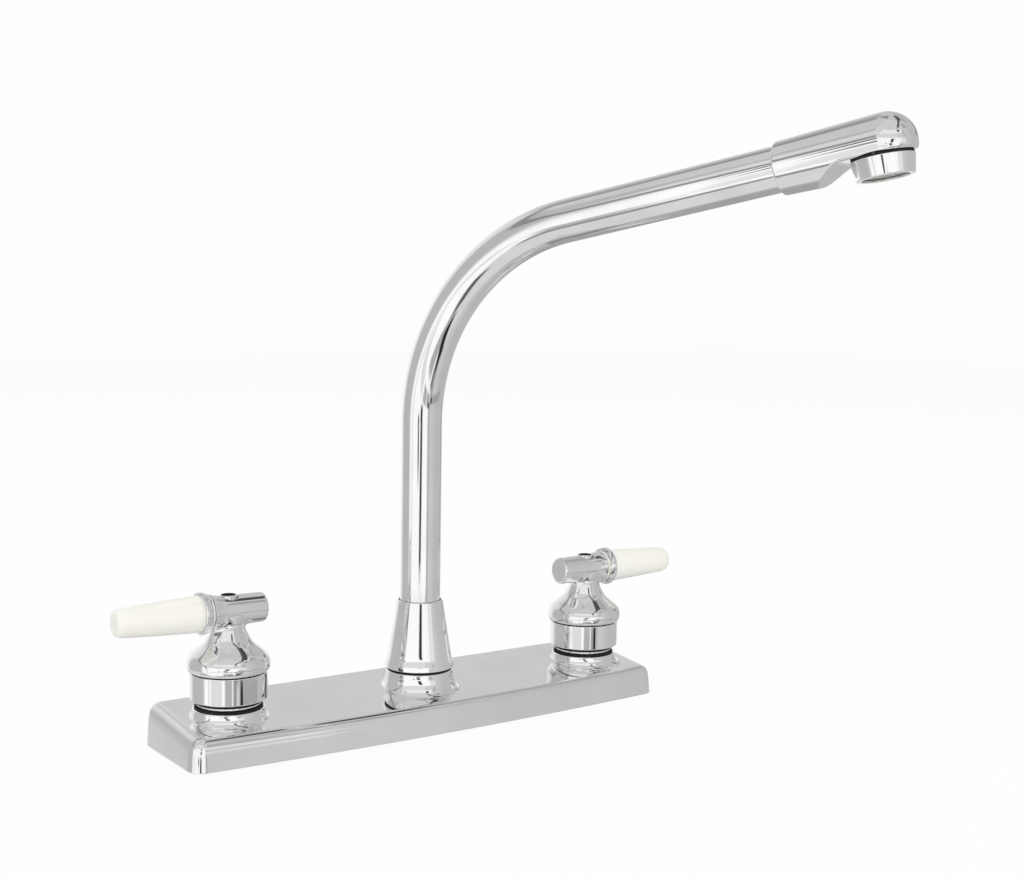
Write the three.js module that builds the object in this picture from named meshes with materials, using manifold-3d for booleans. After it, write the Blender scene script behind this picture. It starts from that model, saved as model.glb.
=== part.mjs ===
// Two handle kitchen faucet for a three hole sink: a chrome deck plate with two ceramic lever
// handles on quarter turn valves and a high swivel spout with an aerator.
// Millimetres, +Z up. The origin is on the spout's swivel axis at the top of the sink deck, +X runs
// along the plate to the cold side and -Y points out over the sink.

import * as THREE from 'three';
import { mergeVertices } from 'three/addons/utils/BufferGeometryUtils.js';
import Module from 'manifold-3d';

const wasm = await Module();
wasm.setup();

// ---- sizes -------------------------------------------------------------------------------------

const FIT = 0.3;                  // gap left between pieces that touch without moving
const RUN = 0.4;                  // running clearance between pieces that turn on each other
const ROUND = 20;                 // facets round a large turned piece
const FINE = 12;                  // facets round a small turned piece
const MEDIUM = 14;                // facets round the hidden bodies

const INLET_SPACING = 203.2;      // hot inlet to cold inlet, the common eight inch spacing
const SPOUT_SWING = 23.1;         // degrees the spout is swung from straight ahead to the cold side

const PLATE_HALF_LENGTH = 130;
const PLATE_BACK = 32.5;          // hole line to the back edge
const PLATE_FRONT = 25.7;         // hole line to the front edge at the ends
const PLATE_BOW = 4.2;            // how far the front edge swells forward at mid length
const PLATE_CORNER = 7;           // plan radius of the corners
const PLATE_HEIGHT = 16.6;        // top surface above the deck, on the hole line
const PLATE_SLOPE = 5.6;          // degrees the top falls toward the sink
const PLATE_DRAFT = 1;            // lean of the side walls over their height
const EDGE_RISE = 5;              // height of the rounded upper edge
const EDGE_RUN = 3.8;             // width of the rounded edge along the front and back
const END_RUN = 5.8;              // width of the rounded edge at the ends
const PLATE_WALL = 2.2;

const BOSS_RADIUS = 16.4;         // top of the three raised bosses
const BOSS_FLARE = 7.6;           // how far a boss spreads at its foot
const VALVE_BOSS_TOP = 20.6;
const SPOUT_BOSS_TOP = 24.9;

const GASKET_THICKNESS = 0.8;
const BASE_THICKNESS = 2;
const BASE_INSET = 3;             // base plate and gasket edge inside the plate's own edge

const SHANK_RADIUS = 10.4;        // half inch pipe thread, outside
const SHANK_LENGTH = 52;          // below the deck
const INLET_BORE = 6;
const BODY_RADIUS = 12.6;         // valve body above the deck
const BODY_TOP = 36;
const WELL_RADIUS = 9.6;          // bore that holds the cartridge
const PORT_HEIGHT = 8.6;          // axis of the cross tubes
const CROSS_TUBE_RADIUS = 4.6;
const CROSS_TUBE_WALL = 0.9;
const TUBE_SOCKET = 1.8;          // depth the cross tubes enter a body

const LOCKNUT_FLATS = 32;
const LOCKNUT_HEIGHT = 7;
const LOCKNUT_DROP = 40;          // underside of the locknuts below the deck
const SHANK_WASHER_RADIUS = 20;
const SHANK_WASHER_THICKNESS = 1.6;

const SEAL_HEIGHT = 1.9;
const CARTRIDGE_RADIUS = 8.6;
const CARTRIDGE_WALL = 0.9;
const DISC_THICKNESS = 2.3;
const DISC_PORT = 2.1;            // radius of the two water ports in each ceramic disc
const DISC_PORT_OFFSET = 3.9;
const NUT_BORE = 6.9;             // through the cartridge retaining nut
const RETAINER_FLATS = 20;
const SPINDLE_RADIUS = 4.6;
const SPLINE_RADIUS = 3.9;
const SPLINE_TEETH = 10;

const SLEEVE_RADIUS = 17.6;       // polished cylinder under each handle
const SLEEVE_TOP = 37.6;
const WASHER_THICKNESS = 1.1;     // dark ring under each sleeve and under the spout nut

const DOME_RADIUS = 18.9;         // widest bead of the handle
const DOME_FULLNESS = 0.95;       // below 1 the dome falls away sooner under its neck
const NECK_RADIUS = 7;            // where the neck runs into the barrel
const LEVER_HEIGHT = 65;          // barrel and lever axis above the deck
const BARREL_RADIUS = 6.8;        // at the closed end
const BARREL_BACK = 17.2;         // handle axis to the closed end
const RIM_RADIUS = 9.7;           // flared mouth that holds the ceramic lever
const RIM_REACH = 14.5;           // handle axis to the mouth
const SOCKET_DEPTH = 5;
const LEVER_REACH = 54;           // handle axis to the lever tip
const LEVER_BASE_RADIUS = 8.4;
const LEVER_TIP_RADIUS = 6.4;
const STUD_RADIUS = 2.9;
const SCREW_RADIUS = 2;
const SCREW_HEAD_RADIUS = 4;
const SCREW_HEAD_HEIGHT = 2.6;
const BUTTON_RADIUS = 4.1;

const TUBE_RADIUS = 9.9;          // spout tube, outside
const TUBE_WALL = 1.1;
const BEND_START = 146;           // height where the upright run ends
const BEND_RADIUS = 98.3;
const ARM_RISE = 11.7;            // degrees the arm climbs toward its tip
const ARM_LENGTH = 104.5;         // end of the bend to the rear rim of the head
const BEND_STEPS = 11;

const SPOUT_NUT_FOOT = 17;        // radius of the cone's lower lip
const SPOUT_NUT_WAIST = 15.3;     // radius of the cone just above the lip
const SPOUT_NUT_NECK = 11;        // radius of the cone at the top
const SPOUT_NUT_TOP = 59.6;
const HUB_RADIUS = 13.4;
const HUB_NECK_RADIUS = 11.9;
const HUB_TOP = 38.6;
const GLIDE_THICKNESS = 1.3;
const COLLAR_HEIGHT = 3.2;
const RING_HEIGHT = 2.2;          // height of each rubber ring

const HEAD_REAR_RADIUS = 11.4;
const HEAD_BALL_RADIUS = 12.6;    // rounded end of the head
const HEAD_BODY = 45.5;           // rear rim to the centre of the rounded end
const TUBE_INSERT = 13;           // depth of the tube in the head
const HEAD_FLAT = 4.4;            // flat underside below the head's axis
const CHIN_START = 15;            // rear rim to the foot of the scoop
const SCOOP_RUN = 14;             // length of the scoop along the head
const AERATOR_SETBACK = 2.6;       // aerator axis behind the centre of the rounded end
const AERATOR_TOP_RADIUS = 13.1;
const AERATOR_FOOT_RADIUS = 11.8;
const AERATOR_HEIGHT = 8.6;
const AERATOR_WALL = 1.2;
const STUB_LENGTH = 4.3;

// ---- finishes ----------------------------------------------------------------------------------

function finish(color, roughness, metalness) {
  return new THREE.MeshStandardMaterial({ color, roughness, metalness });
}

const chrome = finish(0xd6d8da, 0.08, 1);
const brass = finish(0xb8954a, 0.35, 1);
const copper = finish(0xb5704a, 0.35, 1);
const steel = finish(0xa9acb0, 0.3, 1);
const porcelain = finish(0xf3efe2, 0.18, 0);
const ceramic = finish(0xe9e6df, 0.25, 0);
const rubber = finish(0x1b1b1c, 0.75, 0);
const nylon = finish(0xe4e2da, 0.5, 0);
const darkPlastic = finish(0x2b2c2e, 0.55, 0);

// ---- solids ------------------------------------------------------------------------------------

// Welds a closed three.js geometry into one solid whose faces point outward.
function solid(geometry) {
  const bare = geometry.clone();
  bare.deleteAttribute('normal');
  bare.deleteAttribute('uv');
  const welded = mergeVertices(bare, 1e-4);
  const points = welded.getAttribute('position');
  const corners = Array.from(welded.index ? welded.index.array : points.array.keys());
  const a = new THREE.Vector3();
  const b = new THREE.Vector3();
  const c = new THREE.Vector3();
  const faces = [];
  let volume = 0;
  for (let i = 0; i < corners.length; i += 3) {
    const [p, q, r] = corners.slice(i, i + 3);
    if (p === q || q === r || r === p) continue;
    faces.push([p, q, r]);
    a.fromBufferAttribute(points, p);
    b.fromBufferAttribute(points, q);
    c.fromBufferAttribute(points, r);
    volume += a.dot(b.cross(c));
  }
  const outward = volume > 0 ? faces : faces.map(([p, q, r]) => [p, r, q]);
  return new wasm.Manifold(new wasm.Mesh({
    numProp: 3,
    vertProperties: new Float32Array(points.array),
    triVerts: new Uint32Array(outward.flat()),
  }));
}

// Turns a closed profile of [radius, height] points about the Z axis.
function turned(profile, facets = ROUND) {
  const outline = profile.map(([radius, height]) => new THREE.Vector2(radius, height));
  if (profile[0][0] > 0) outline.push(outline[0].clone());
  return solid(new THREE.LatheGeometry(outline, facets).rotateX(Math.PI / 2));
}

// A round bar on the Z axis.
function bar(radius, bottom, top, facets = ROUND) {
  return turned([[0, bottom], [radius, bottom], [radius, top], [0, top]], facets);
}

// A ring of rectangular section on the Z axis.
function ring(outer, inner, bottom, top, facets = FINE) {
  return turned([[inner, bottom], [outer, bottom], [outer, top], [inner, top]], facets);
}

// A bar with flats, such as a nut, given the distance across them.
function flats(across, sides, bottom, top) {
  const prism = new THREE.CylinderGeometry(1, 1, top - bottom, sides);
  const radius = across / 2 / Math.cos(Math.PI / sides);
  prism.scale(radius, 1, radius).rotateX(Math.PI / 2).translate(0, 0, (top + bottom) / 2);
  return solid(prism);
}

// Skins a stack of outlines that all have the same number of points, and closes both ends.
function lofted(outlines) {
  const count = outlines[0].length;
  const points = outlines.flat();
  const faces = [];
  for (let layer = 0; layer + 1 < outlines.length; layer += 1) {
    for (let i = 0; i < count; i += 1) {
      const near = layer * count + i;
      const next = layer * count + ((i + 1) % count);
      faces.push(near, next, near + count, next, next + count, near + count);
    }
  }
  for (const layer of [0, outlines.length - 1]) {
    const outline = outlines[layer];
    const centre = outline.reduce((sum, p) => sum.add(p), new THREE.Vector3()).divideScalar(count);
    points.push(centre);
    for (let i = 0; i < count; i += 1) {
      const edge = [layer * count + i, layer * count + ((i + 1) % count)];
      if (layer === 0) edge.reverse();
      faces.push(points.length - 1, ...edge);
    }
  }
  const geometry = new THREE.BufferGeometry().setFromPoints(points);
  geometry.setIndex(faces);
  return solid(geometry);
}

// Lays a solid that was made on the Z axis along the X axis.
function alongX(body) {
  return body.rotate([0, 90, 0]);
}

// Copies of a solid set round the Z axis.
function spread(body, count) {
  return Array.from({ length: count }, (_, i) => body.rotate([0, 0, (360 * i) / count]));
}

// Puts a finished solid in the scene as one named mesh.
function place(group, name, body, material) {
  const mesh = body.getMesh();
  const geometry = new THREE.BufferGeometry();
  geometry.setAttribute('position', new THREE.BufferAttribute(mesh.vertProperties, 3));
  geometry.setIndex(new THREE.BufferAttribute(mesh.triVerts, 1));
  geometry.computeVertexNormals();
  const part = new THREE.Mesh(geometry, material);
  part.name = name;
  group.add(part);
}

// ---- deck plate --------------------------------------------------------------------------------

// Height of the sloping top surface at a distance from the hole line.
function plateTop(y) {
  return PLATE_HEIGHT + y * Math.tan(THREE.MathUtils.degToRad(PLATE_SLOPE));
}

// The plate's plan outline with the direction in which each point moves when it is set in.
function plateOutline() {
  const outline = [];
  const straight = PLATE_HALF_LENGTH - PLATE_CORNER;
  const steps = 10;
  for (let i = 1; i < steps; i += 1) {
    const along = (2 * i) / steps - 1;
    const swell = PLATE_BOW * (1 - along * along);
    outline.push({ x: along * straight, y: -PLATE_FRONT - swell, nx: 0, ny: -1 });
  }
  const centres = [
    [straight, PLATE_CORNER - PLATE_FRONT, -90],
    [straight, PLATE_BACK - PLATE_CORNER, 0],
    [-straight, PLATE_BACK - PLATE_CORNER, 90],
    [-straight, PLATE_CORNER - PLATE_FRONT, 180],
  ];
  for (const [x, y, start] of centres) {
    for (let turn = 0; turn <= 90; turn += 30) {
      const angle = THREE.MathUtils.degToRad(start + turn);
      const nx = Math.cos(angle);
      const ny = Math.sin(angle);
      outline.push({ x: x + PLATE_CORNER * nx, y: y + PLATE_CORNER * ny, nx, ny });
    }
  }
  return outline;
}

// One layer of the plate: the outline set in by the given amounts, at a height that may follow y.
function plateLayer(endInset, sideInset, height) {
  return plateOutline().map(({ x, y, nx, ny }) => {
    const across = y - sideInset * ny;
    return new THREE.Vector3(x - endInset * nx, across, height(across));
  });
}

// A flared boss that rises out of the sloping plate.
function boss(top) {
  const foot = PLATE_HEIGHT - PLATE_WALL - 1.2;
  const profile = [[0, foot]];
  const steps = 5;
  const rise = top - 0.6 - foot;
  for (let i = 0; i <= steps; i += 1) {
    const angle = (Math.PI / 2) * (i / steps);
    profile.push([BOSS_RADIUS + BOSS_FLARE * (1 - Math.sin(angle)), foot + rise * (1 - Math.cos(angle))]);
  }
  profile.push([BOSS_RADIUS - 0.5, top], [0, top]);
  return turned(profile);
}

function deckPlate() {
  const layers = [plateLayer(0, 0, () => 0)];
  for (const angle of [0, 30, 60, 90]) {
    const turn = THREE.MathUtils.degToRad(angle);
    const spare = 1 - Math.cos(turn);
    const drop = EDGE_RISE * (1 - Math.sin(turn));
    layers.push(plateLayer(
      PLATE_DRAFT + END_RUN * spare,
      PLATE_DRAFT + EDGE_RUN * spare,
      (y) => plateTop(y) - drop,
    ));
  }
  const inside = PLATE_WALL + PLATE_DRAFT;
  const cavity = lofted([
    plateLayer(PLATE_WALL, PLATE_WALL, () => -1),
    plateLayer(inside, inside, (y) => plateTop(y) - PLATE_WALL - EDGE_RISE),
    plateLayer(inside + END_RUN / 2, inside + EDGE_RUN / 2, (y) => plateTop(y) - PLATE_WALL),
  ]);
  const half = INLET_SPACING / 2;
  const bodyHole = bar(BODY_RADIUS + FIT, 0, VALVE_BOSS_TOP + 1);
  const hubHole = bar(HUB_RADIUS + FIT, 0, SPOUT_BOSS_TOP - PLATE_WALL)
    .add(bar(HUB_NECK_RADIUS + FIT, 0, SPOUT_BOSS_TOP + 1));
  return lofted(layers)
    .add(boss(VALVE_BOSS_TOP).translate([half, 0, 0]))
    .add(boss(VALVE_BOSS_TOP).translate([-half, 0, 0]))
    .add(boss(SPOUT_BOSS_TOP))
    .subtract(cavity)
    .subtract(bodyHole.translate([half, 0, 0]))
    .subtract(bodyHole.translate([-half, 0, 0]))
    .subtract(hubHole);
}

// A flat sheet that fills the plate's mouth, with a hole for each shank.
function mouthSheet(bottom, top) {
  const half = INLET_SPACING / 2;
  const hole = bar(SHANK_RADIUS + FIT, bottom - 1, top + 1, MEDIUM);
  return lofted([
    plateLayer(BASE_INSET, BASE_INSET, () => bottom),
    plateLayer(BASE_INSET, BASE_INSET, () => top),
  ])
    .subtract(hole.translate([half, 0, 0]))
    .subtract(hole.translate([-half, 0, 0]));
}

const BASE_BOTTOM = GASKET_THICKNESS + FIT;
const BASE_TOP = BASE_BOTTOM + BASE_THICKNESS;
const BODY_FOOT = BASE_TOP + FIT;

// ---- supply valves, in a frame whose +X points away from the spout --------------------------------

const WELL_FLOOR = BODY_FOOT - 0.4;
const CARTRIDGE_FOOT = WELL_FLOOR + SEAL_HEIGHT + 2 * FIT;
const FIXED_DISC_BOTTOM = CARTRIDGE_FOOT + FIT;
const MOVING_DISC_BOTTOM = FIXED_DISC_BOTTOM + DISC_THICKNESS + FIT;
const DRIVER_BOTTOM = MOVING_DISC_BOTTOM + DISC_THICKNESS + FIT;
const DRIVER_TOP = DRIVER_BOTTOM + 2;
const CHAMBER_TOP = DRIVER_TOP + 3.4;
const DISC_RADIUS = CARTRIDGE_RADIUS - CARTRIDGE_WALL - RUN;
const FLANGE_TOP = BODY_TOP - 6.4;
const RETAINER_SEAT = FLANGE_TOP + FIT;
const RETAINER_TOP = BODY_TOP + FIT + 2.6;
const CARTRIDGE_TOP = RETAINER_TOP + 1.6;
const SPINDLE_TOP = LEVER_HEIGHT - BARREL_RADIUS - 1;
const SPINDLE_RING_HEIGHT = CHAMBER_TOP + 6;

function endBody() {
  const outside = turned([
    [0, -SHANK_LENGTH], [SHANK_RADIUS - 0.8, -SHANK_LENGTH], [SHANK_RADIUS, 0.8 - SHANK_LENGTH],
    [SHANK_RADIUS, BODY_FOOT], [BODY_RADIUS, BODY_FOOT], [BODY_RADIUS, BODY_TOP - 0.6],
    [BODY_RADIUS - 0.6, BODY_TOP], [0, BODY_TOP],
  ], MEDIUM);
  const socket = alongX(bar(CROSS_TUBE_RADIUS + FIT, -BODY_RADIUS - 1, TUBE_SOCKET - BODY_RADIUS, FINE));
  const port = alongX(bar(CROSS_TUBE_RADIUS - CROSS_TUBE_WALL, -BODY_RADIUS, 0, FINE));
  return outside
    .subtract(bar(INLET_BORE, -SHANK_LENGTH - 1, WELL_FLOOR + 1, FINE))
    .subtract(bar(WELL_RADIUS, WELL_FLOOR, BODY_TOP + 1, MEDIUM))
    .subtract(socket.translate([0, 0, PORT_HEIGHT]))
    .subtract(port.translate([0, 0, PORT_HEIGHT]));
}

function crossTube() {
  const start = TUBE_SOCKET - FIT - BODY_RADIUS;
  const end = HUB_RADIUS - TUBE_SOCKET + FIT - INLET_SPACING / 2;
  return alongX(ring(CROSS_TUBE_RADIUS, CROSS_TUBE_RADIUS - CROSS_TUBE_WALL, end, start))
    .translate([0, 0, PORT_HEIGHT]);
}

function locknut() {
  const bottom = -LOCKNUT_DROP;
  const nut = flats(LOCKNUT_FLATS, 6, bottom, bottom + LOCKNUT_HEIGHT);
  const corner = LOCKNUT_FLATS / Math.sqrt(3);
  const eased = turned([
    [0, bottom], [corner - 2, bottom], [corner, bottom + 1.2],
    [corner, bottom + LOCKNUT_HEIGHT - 1.2], [corner - 2, bottom + LOCKNUT_HEIGHT],
    [0, bottom + LOCKNUT_HEIGHT],
  ], 12);
  return nut.intersect(eased)
    .subtract(bar(SHANK_RADIUS + FIT, bottom - 1, bottom + LOCKNUT_HEIGHT + 1, MEDIUM));
}

function shankWasher() {
  const bottom = LOCKNUT_HEIGHT + FIT - LOCKNUT_DROP;
  return ring(SHANK_WASHER_RADIUS, SHANK_RADIUS + FIT, bottom, bottom + SHANK_WASHER_THICKNESS, MEDIUM);
}

function seatSeal() {
  const bottom = WELL_FLOOR + FIT;
  return ring(CARTRIDGE_RADIUS - 0.4, INLET_BORE - 0.8, bottom, bottom + SEAL_HEIGHT);
}

function cartridgeBody() {
  const reach = NUT_BORE - FIT;
  const shell = turned([
    [DISC_RADIUS + RUN, CARTRIDGE_FOOT], [CARTRIDGE_RADIUS, CARTRIDGE_FOOT],
    [CARTRIDGE_RADIUS, FLANGE_TOP - 2.4], [WELL_RADIUS - FIT, FLANGE_TOP - 2.4],
    [WELL_RADIUS - FIT, FLANGE_TOP], [reach, FLANGE_TOP], [reach, CARTRIDGE_TOP - 0.5],
    [reach - 0.5, CARTRIDGE_TOP], [SPINDLE_RADIUS + RUN, CARTRIDGE_TOP],
    [SPINDLE_RADIUS + RUN, CHAMBER_TOP], [DISC_RADIUS + RUN, CHAMBER_TOP],
  ], FINE);
  const window = alongX(bar(1.5, -CARTRIDGE_RADIUS - 1, CARTRIDGE_RADIUS + 1, 8));
  return shell.subtract(window.translate([0, 0, CHAMBER_TOP - 1.7]));
}

// A ceramic disc with two water ports, which lie on the X axis unless it is turned.
function valveDisc(radius, bottom) {
  const port = bar(DISC_PORT, bottom - 1, bottom + DISC_THICKNESS + 1, 10);
  return bar(radius, bottom, bottom + DISC_THICKNESS, MEDIUM)
    .subtract(port.translate([DISC_PORT_OFFSET, 0, 0]))
    .subtract(port.translate([-DISC_PORT_OFFSET, 0, 0]));
}

function retainerNut() {
  const head = flats(RETAINER_FLATS, 6, BODY_TOP + FIT, RETAINER_TOP);
  return bar(WELL_RADIUS - FIT, RETAINER_SEAT, BODY_TOP + FIT + 0.5, FINE)
    .add(head)
    .subtract(bar(NUT_BORE, RETAINER_SEAT - 1, RETAINER_TOP + 1, FINE));
}

// Turns the upper disc: a flange with two ports over the disc, a sealed stem and a splined end.
function spindle() {
  const groove = SPINDLE_RING_HEIGHT - FIT;
  const stem = turned([
    [0, DRIVER_BOTTOM], [DISC_RADIUS, DRIVER_BOTTOM], [DISC_RADIUS, DRIVER_TOP],
    [SPINDLE_RADIUS, DRIVER_TOP], [SPINDLE_RADIUS, groove], [SPINDLE_RADIUS - 1.2, groove],
    [SPINDLE_RADIUS - 1.2, groove + RING_HEIGHT + 2 * FIT], [SPINDLE_RADIUS, groove + RING_HEIGHT + 2 * FIT],
    [SPINDLE_RADIUS, CARTRIDGE_TOP + 0.5], [0, CARTRIDGE_TOP + 0.5],
  ], FINE);
  const teeth = new THREE.Shape();
  for (let i = 0; i < 2 * SPLINE_TEETH; i += 1) {
    const turn = (Math.PI * i) / SPLINE_TEETH;
    const radius = SPLINE_RADIUS - (i % 2) * 0.7;
    teeth[i ? 'lineTo' : 'moveTo'](radius * Math.cos(turn), radius * Math.sin(turn));
  }
  const depth = SPINDLE_TOP - CARTRIDGE_TOP;
  const spline = new THREE.ExtrudeGeometry(teeth, { depth, bevelEnabled: false });
  const port = bar(DISC_PORT, DRIVER_BOTTOM - 1, DRIVER_TOP + 1, 10);
  return stem.add(solid(spline.translate(0, 0, CARTRIDGE_TOP)))
    .subtract(port.translate([0, DISC_PORT_OFFSET, 0]))
    .subtract(port.translate([0, -DISC_PORT_OFFSET, 0]))
    .subtract(bar(SCREW_RADIUS + FIT, SPINDLE_TOP - 10, SPINDLE_TOP + 1, 10));
}

function spindleRing() {
  return ring(
    SPINDLE_RADIUS + RUN - 0.2,
    SPINDLE_RADIUS - 1,
    SPINDLE_RING_HEIGHT,
    SPINDLE_RING_HEIGHT + RING_HEIGHT,
  );
}

const VALVE_WASHER_BOTTOM = VALVE_BOSS_TOP + FIT;
const SLEEVE_FOOT = VALVE_WASHER_BOTTOM + WASHER_THICKNESS + FIT;

function bonnetWasher() {
  return ring(
    BOSS_RADIUS - 1.2,
    BODY_RADIUS + FIT,
    VALVE_WASHER_BOTTOM,
    VALVE_WASHER_BOTTOM + WASHER_THICKNESS,
    MEDIUM,
  );
}

function bonnetSleeve() {
  const lip = SLEEVE_RADIUS - 2;
  const shell = SLEEVE_RADIUS - 1.7;
  return turned([
    [BODY_RADIUS + FIT, SLEEVE_FOOT], [lip, SLEEVE_FOOT], [lip, SLEEVE_FOOT + 1.6],
    [SLEEVE_RADIUS, SLEEVE_FOOT + 3.1], [SLEEVE_RADIUS, SLEEVE_TOP - 0.4],
    [SLEEVE_RADIUS - 0.4, SLEEVE_TOP], [shell, SLEEVE_TOP], [shell, SLEEVE_FOOT + 7],
    [BODY_RADIUS + FIT, SLEEVE_FOOT + 6],
  ]);
}

// ---- handles -----------------------------------------------------------------------------------

const HUB_FOOT = SLEEVE_TOP + RUN;
const BUTTON_SEAT = LEVER_HEIGHT + BARREL_RADIUS - 2.2;
const HEAD_SEAT = BUTTON_SEAT - FIT - SCREW_HEAD_HEIGHT;

// Domed skirt, neck, barrel and flared mouth in one casting.
function handleHub() {
  const crown = HUB_FOOT + 3.1;
  const profile = [[0, HUB_FOOT], [DOME_RADIUS - 0.9, HUB_FOOT], [DOME_RADIUS - 0.3, HUB_FOOT + 1]];
  const rise = LEVER_HEIGHT - BARREL_RADIUS - crown;
  const steps = 7;
  for (let i = 0; i <= steps; i += 1) {
    const up = i / steps;
    const ease = 0.5 + 0.5 * Math.cos(Math.PI * Math.pow(up, DOME_FULLNESS));
    profile.push([NECK_RADIUS + (DOME_RADIUS - NECK_RADIUS) * ease, crown + rise * up]);
  }
  profile.push([NECK_RADIUS, LEVER_HEIGHT - 3], [0, LEVER_HEIGHT - 3]);
  const slope = (RIM_RADIUS - BARREL_RADIUS) / 2;
  const barrel = turned([
    [0, -BARREL_BACK], [BARREL_RADIUS - 1, -BARREL_BACK], [BARREL_RADIUS, 1 - BARREL_BACK],
    [BARREL_RADIUS + 0.3 * slope + 0.4, 4.5], [BARREL_RADIUS + slope + 0.2, 8.2],
    [RIM_RADIUS - 0.3, RIM_REACH - 2.8], [RIM_RADIUS, RIM_REACH - 1],
    [RIM_RADIUS - 0.5, RIM_REACH], [0, RIM_REACH],
  ], 20);
  const hollow = turned([
    [0, HUB_FOOT - 1], [DOME_RADIUS - 3.2, HUB_FOOT - 1], [DOME_RADIUS - 3.2, crown],
    [DOME_RADIUS - 5.6, crown + 3], [SPLINE_RADIUS + FIT, crown + 5.4],
    [SPLINE_RADIUS + FIT, SPINDLE_TOP + FIT], [0, SPINDLE_TOP + FIT],
  ], FINE);
  const stack = bar(SCREW_RADIUS + FIT, SPINDLE_TOP - 1, HEAD_SEAT + 1, FINE)
    .add(bar(BUTTON_RADIUS + FIT, HEAD_SEAT - FIT, LEVER_HEIGHT + RIM_RADIUS, FINE));
  const socket = bar(LEVER_BASE_RADIUS + FIT, RIM_REACH - SOCKET_DEPTH, RIM_REACH + 1, 20)
    .add(bar(STUD_RADIUS + FIT, BUTTON_RADIUS + 1.6, RIM_REACH, FINE));
  return turned(profile)
    .add(alongX(barrel).translate([0, 0, LEVER_HEIGHT]))
    .subtract(hollow)
    .subtract(stack)
    .subtract(alongX(socket).translate([0, 0, LEVER_HEIGHT]));
}

const LEVER_FOOT = RIM_REACH - SOCKET_DEPTH + FIT;
const STUD_END = LEVER_REACH - 8;

// Glazed lever: a slight taper to a softly rounded tip, bored for its stud.
function ceramicLever() {
  const profile = [[STUD_RADIUS + FIT, LEVER_FOOT], [LEVER_BASE_RADIUS, LEVER_FOOT]];
  const soft = 2.6;
  for (let i = 0; i <= 2; i += 1) {
    const turn = (Math.PI / 4) * i;
    const inward = soft * (1 - Math.cos(turn));
    profile.push([LEVER_TIP_RADIUS - inward, LEVER_REACH - soft + soft * Math.sin(turn)]);
  }
  profile.push([0, LEVER_REACH + 0.3], [0, STUD_END + FIT], [STUD_RADIUS + FIT, STUD_END + FIT]);
  return alongX(turned(profile)).translate([0, 0, LEVER_HEIGHT]);
}

function leverStud() {
  const start = BUTTON_RADIUS + 1.6 + FIT;
  return alongX(turned([
    [0, start], [STUD_RADIUS - 0.5, start], [STUD_RADIUS, start + 0.5], [STUD_RADIUS, STUD_END],
    [0, STUD_END],
  ], FINE)).translate([0, 0, LEVER_HEIGHT]);
}

function handleScrew() {
  const top = HEAD_SEAT + SCREW_HEAD_HEIGHT;
  const body = turned([
    [0, SPINDLE_TOP - 8], [SCREW_RADIUS - 0.6, SPINDLE_TOP - 8], [SCREW_RADIUS, SPINDLE_TOP - 7.2],
    [SCREW_RADIUS, HEAD_SEAT], [SCREW_HEAD_RADIUS, HEAD_SEAT], [SCREW_HEAD_RADIUS, top - 0.9],
    [SCREW_HEAD_RADIUS - 0.9, top], [0, top],
  ], FINE);
  const slot = solid(new THREE.BoxGeometry(2 * SCREW_HEAD_RADIUS + 1, 1, 2.4).translate(0, 0, top));
  return body.subtract(slot);
}

function indexButton() {
  const top = LEVER_HEIGHT + BARREL_RADIUS + 0.8;
  return turned([
    [0, BUTTON_SEAT], [BUTTON_RADIUS, BUTTON_SEAT],
    [BUTTON_RADIUS, top - 0.5], [BUTTON_RADIUS - 1, top], [0, top],
  ], FINE);
}

// ---- spout -------------------------------------------------------------------------------------

const SHANK_FOOT = PORT_HEIGHT + CROSS_TUBE_RADIUS + 2;
const HUB_BORE = TUBE_RADIUS + 0.1 + RUN;
const LOWER_GLIDE = HUB_TOP + FIT;
const COLLAR_BOTTOM = LOWER_GLIDE + GLIDE_THICKNESS + FIT;
const COLLAR_TOP = COLLAR_BOTTOM + COLLAR_HEIGHT;
const COLLAR_RADIUS = HUB_NECK_RADIUS - 0.5;
const UPPER_GLIDE = COLLAR_TOP + FIT;
const TUBE_FOOT = COLLAR_TOP + FIT;
const SPOUT_WASHER_BOTTOM = SPOUT_BOSS_TOP + FIT;
const SPOUT_NUT_FOOT_HEIGHT = SPOUT_WASHER_BOTTOM + WASHER_THICKNESS + FIT;
const RING_HEIGHTS = [SHANK_FOOT + 5.5, SHANK_FOOT + 13.5];

// Brass centre body: takes both cross tubes and holds the foot of the spout.
function spoutHub() {
  const shoulder = SPOUT_BOSS_TOP - PLATE_WALL - FIT;
  const outside = turned([
    [0, BODY_FOOT], [HUB_RADIUS, BODY_FOOT], [HUB_RADIUS, shoulder], [HUB_NECK_RADIUS, shoulder],
    [HUB_NECK_RADIUS, HUB_TOP - 0.4], [HUB_NECK_RADIUS - 0.4, HUB_TOP], [0, HUB_TOP],
  ], MEDIUM);
  const port = alongX(bar(CROSS_TUBE_RADIUS - CROSS_TUBE_WALL, -HUB_RADIUS, HUB_RADIUS, FINE));
  const socket = alongX(bar(CROSS_TUBE_RADIUS + FIT, HUB_RADIUS - TUBE_SOCKET, HUB_RADIUS + 1, FINE));
  return outside
    .subtract(bar(HUB_BORE, SHANK_FOOT - FIT, HUB_TOP + 1, MEDIUM))
    .subtract(bar(HUB_BORE - 1.6, BODY_FOOT + 1.2, SHANK_FOOT, MEDIUM))
    .subtract(port.translate([0, 0, PORT_HEIGHT]))
    .subtract(socket.translate([0, 0, PORT_HEIGHT]))
    .subtract(socket.rotate([0, 0, 180]).translate([0, 0, PORT_HEIGHT]));
}

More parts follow.
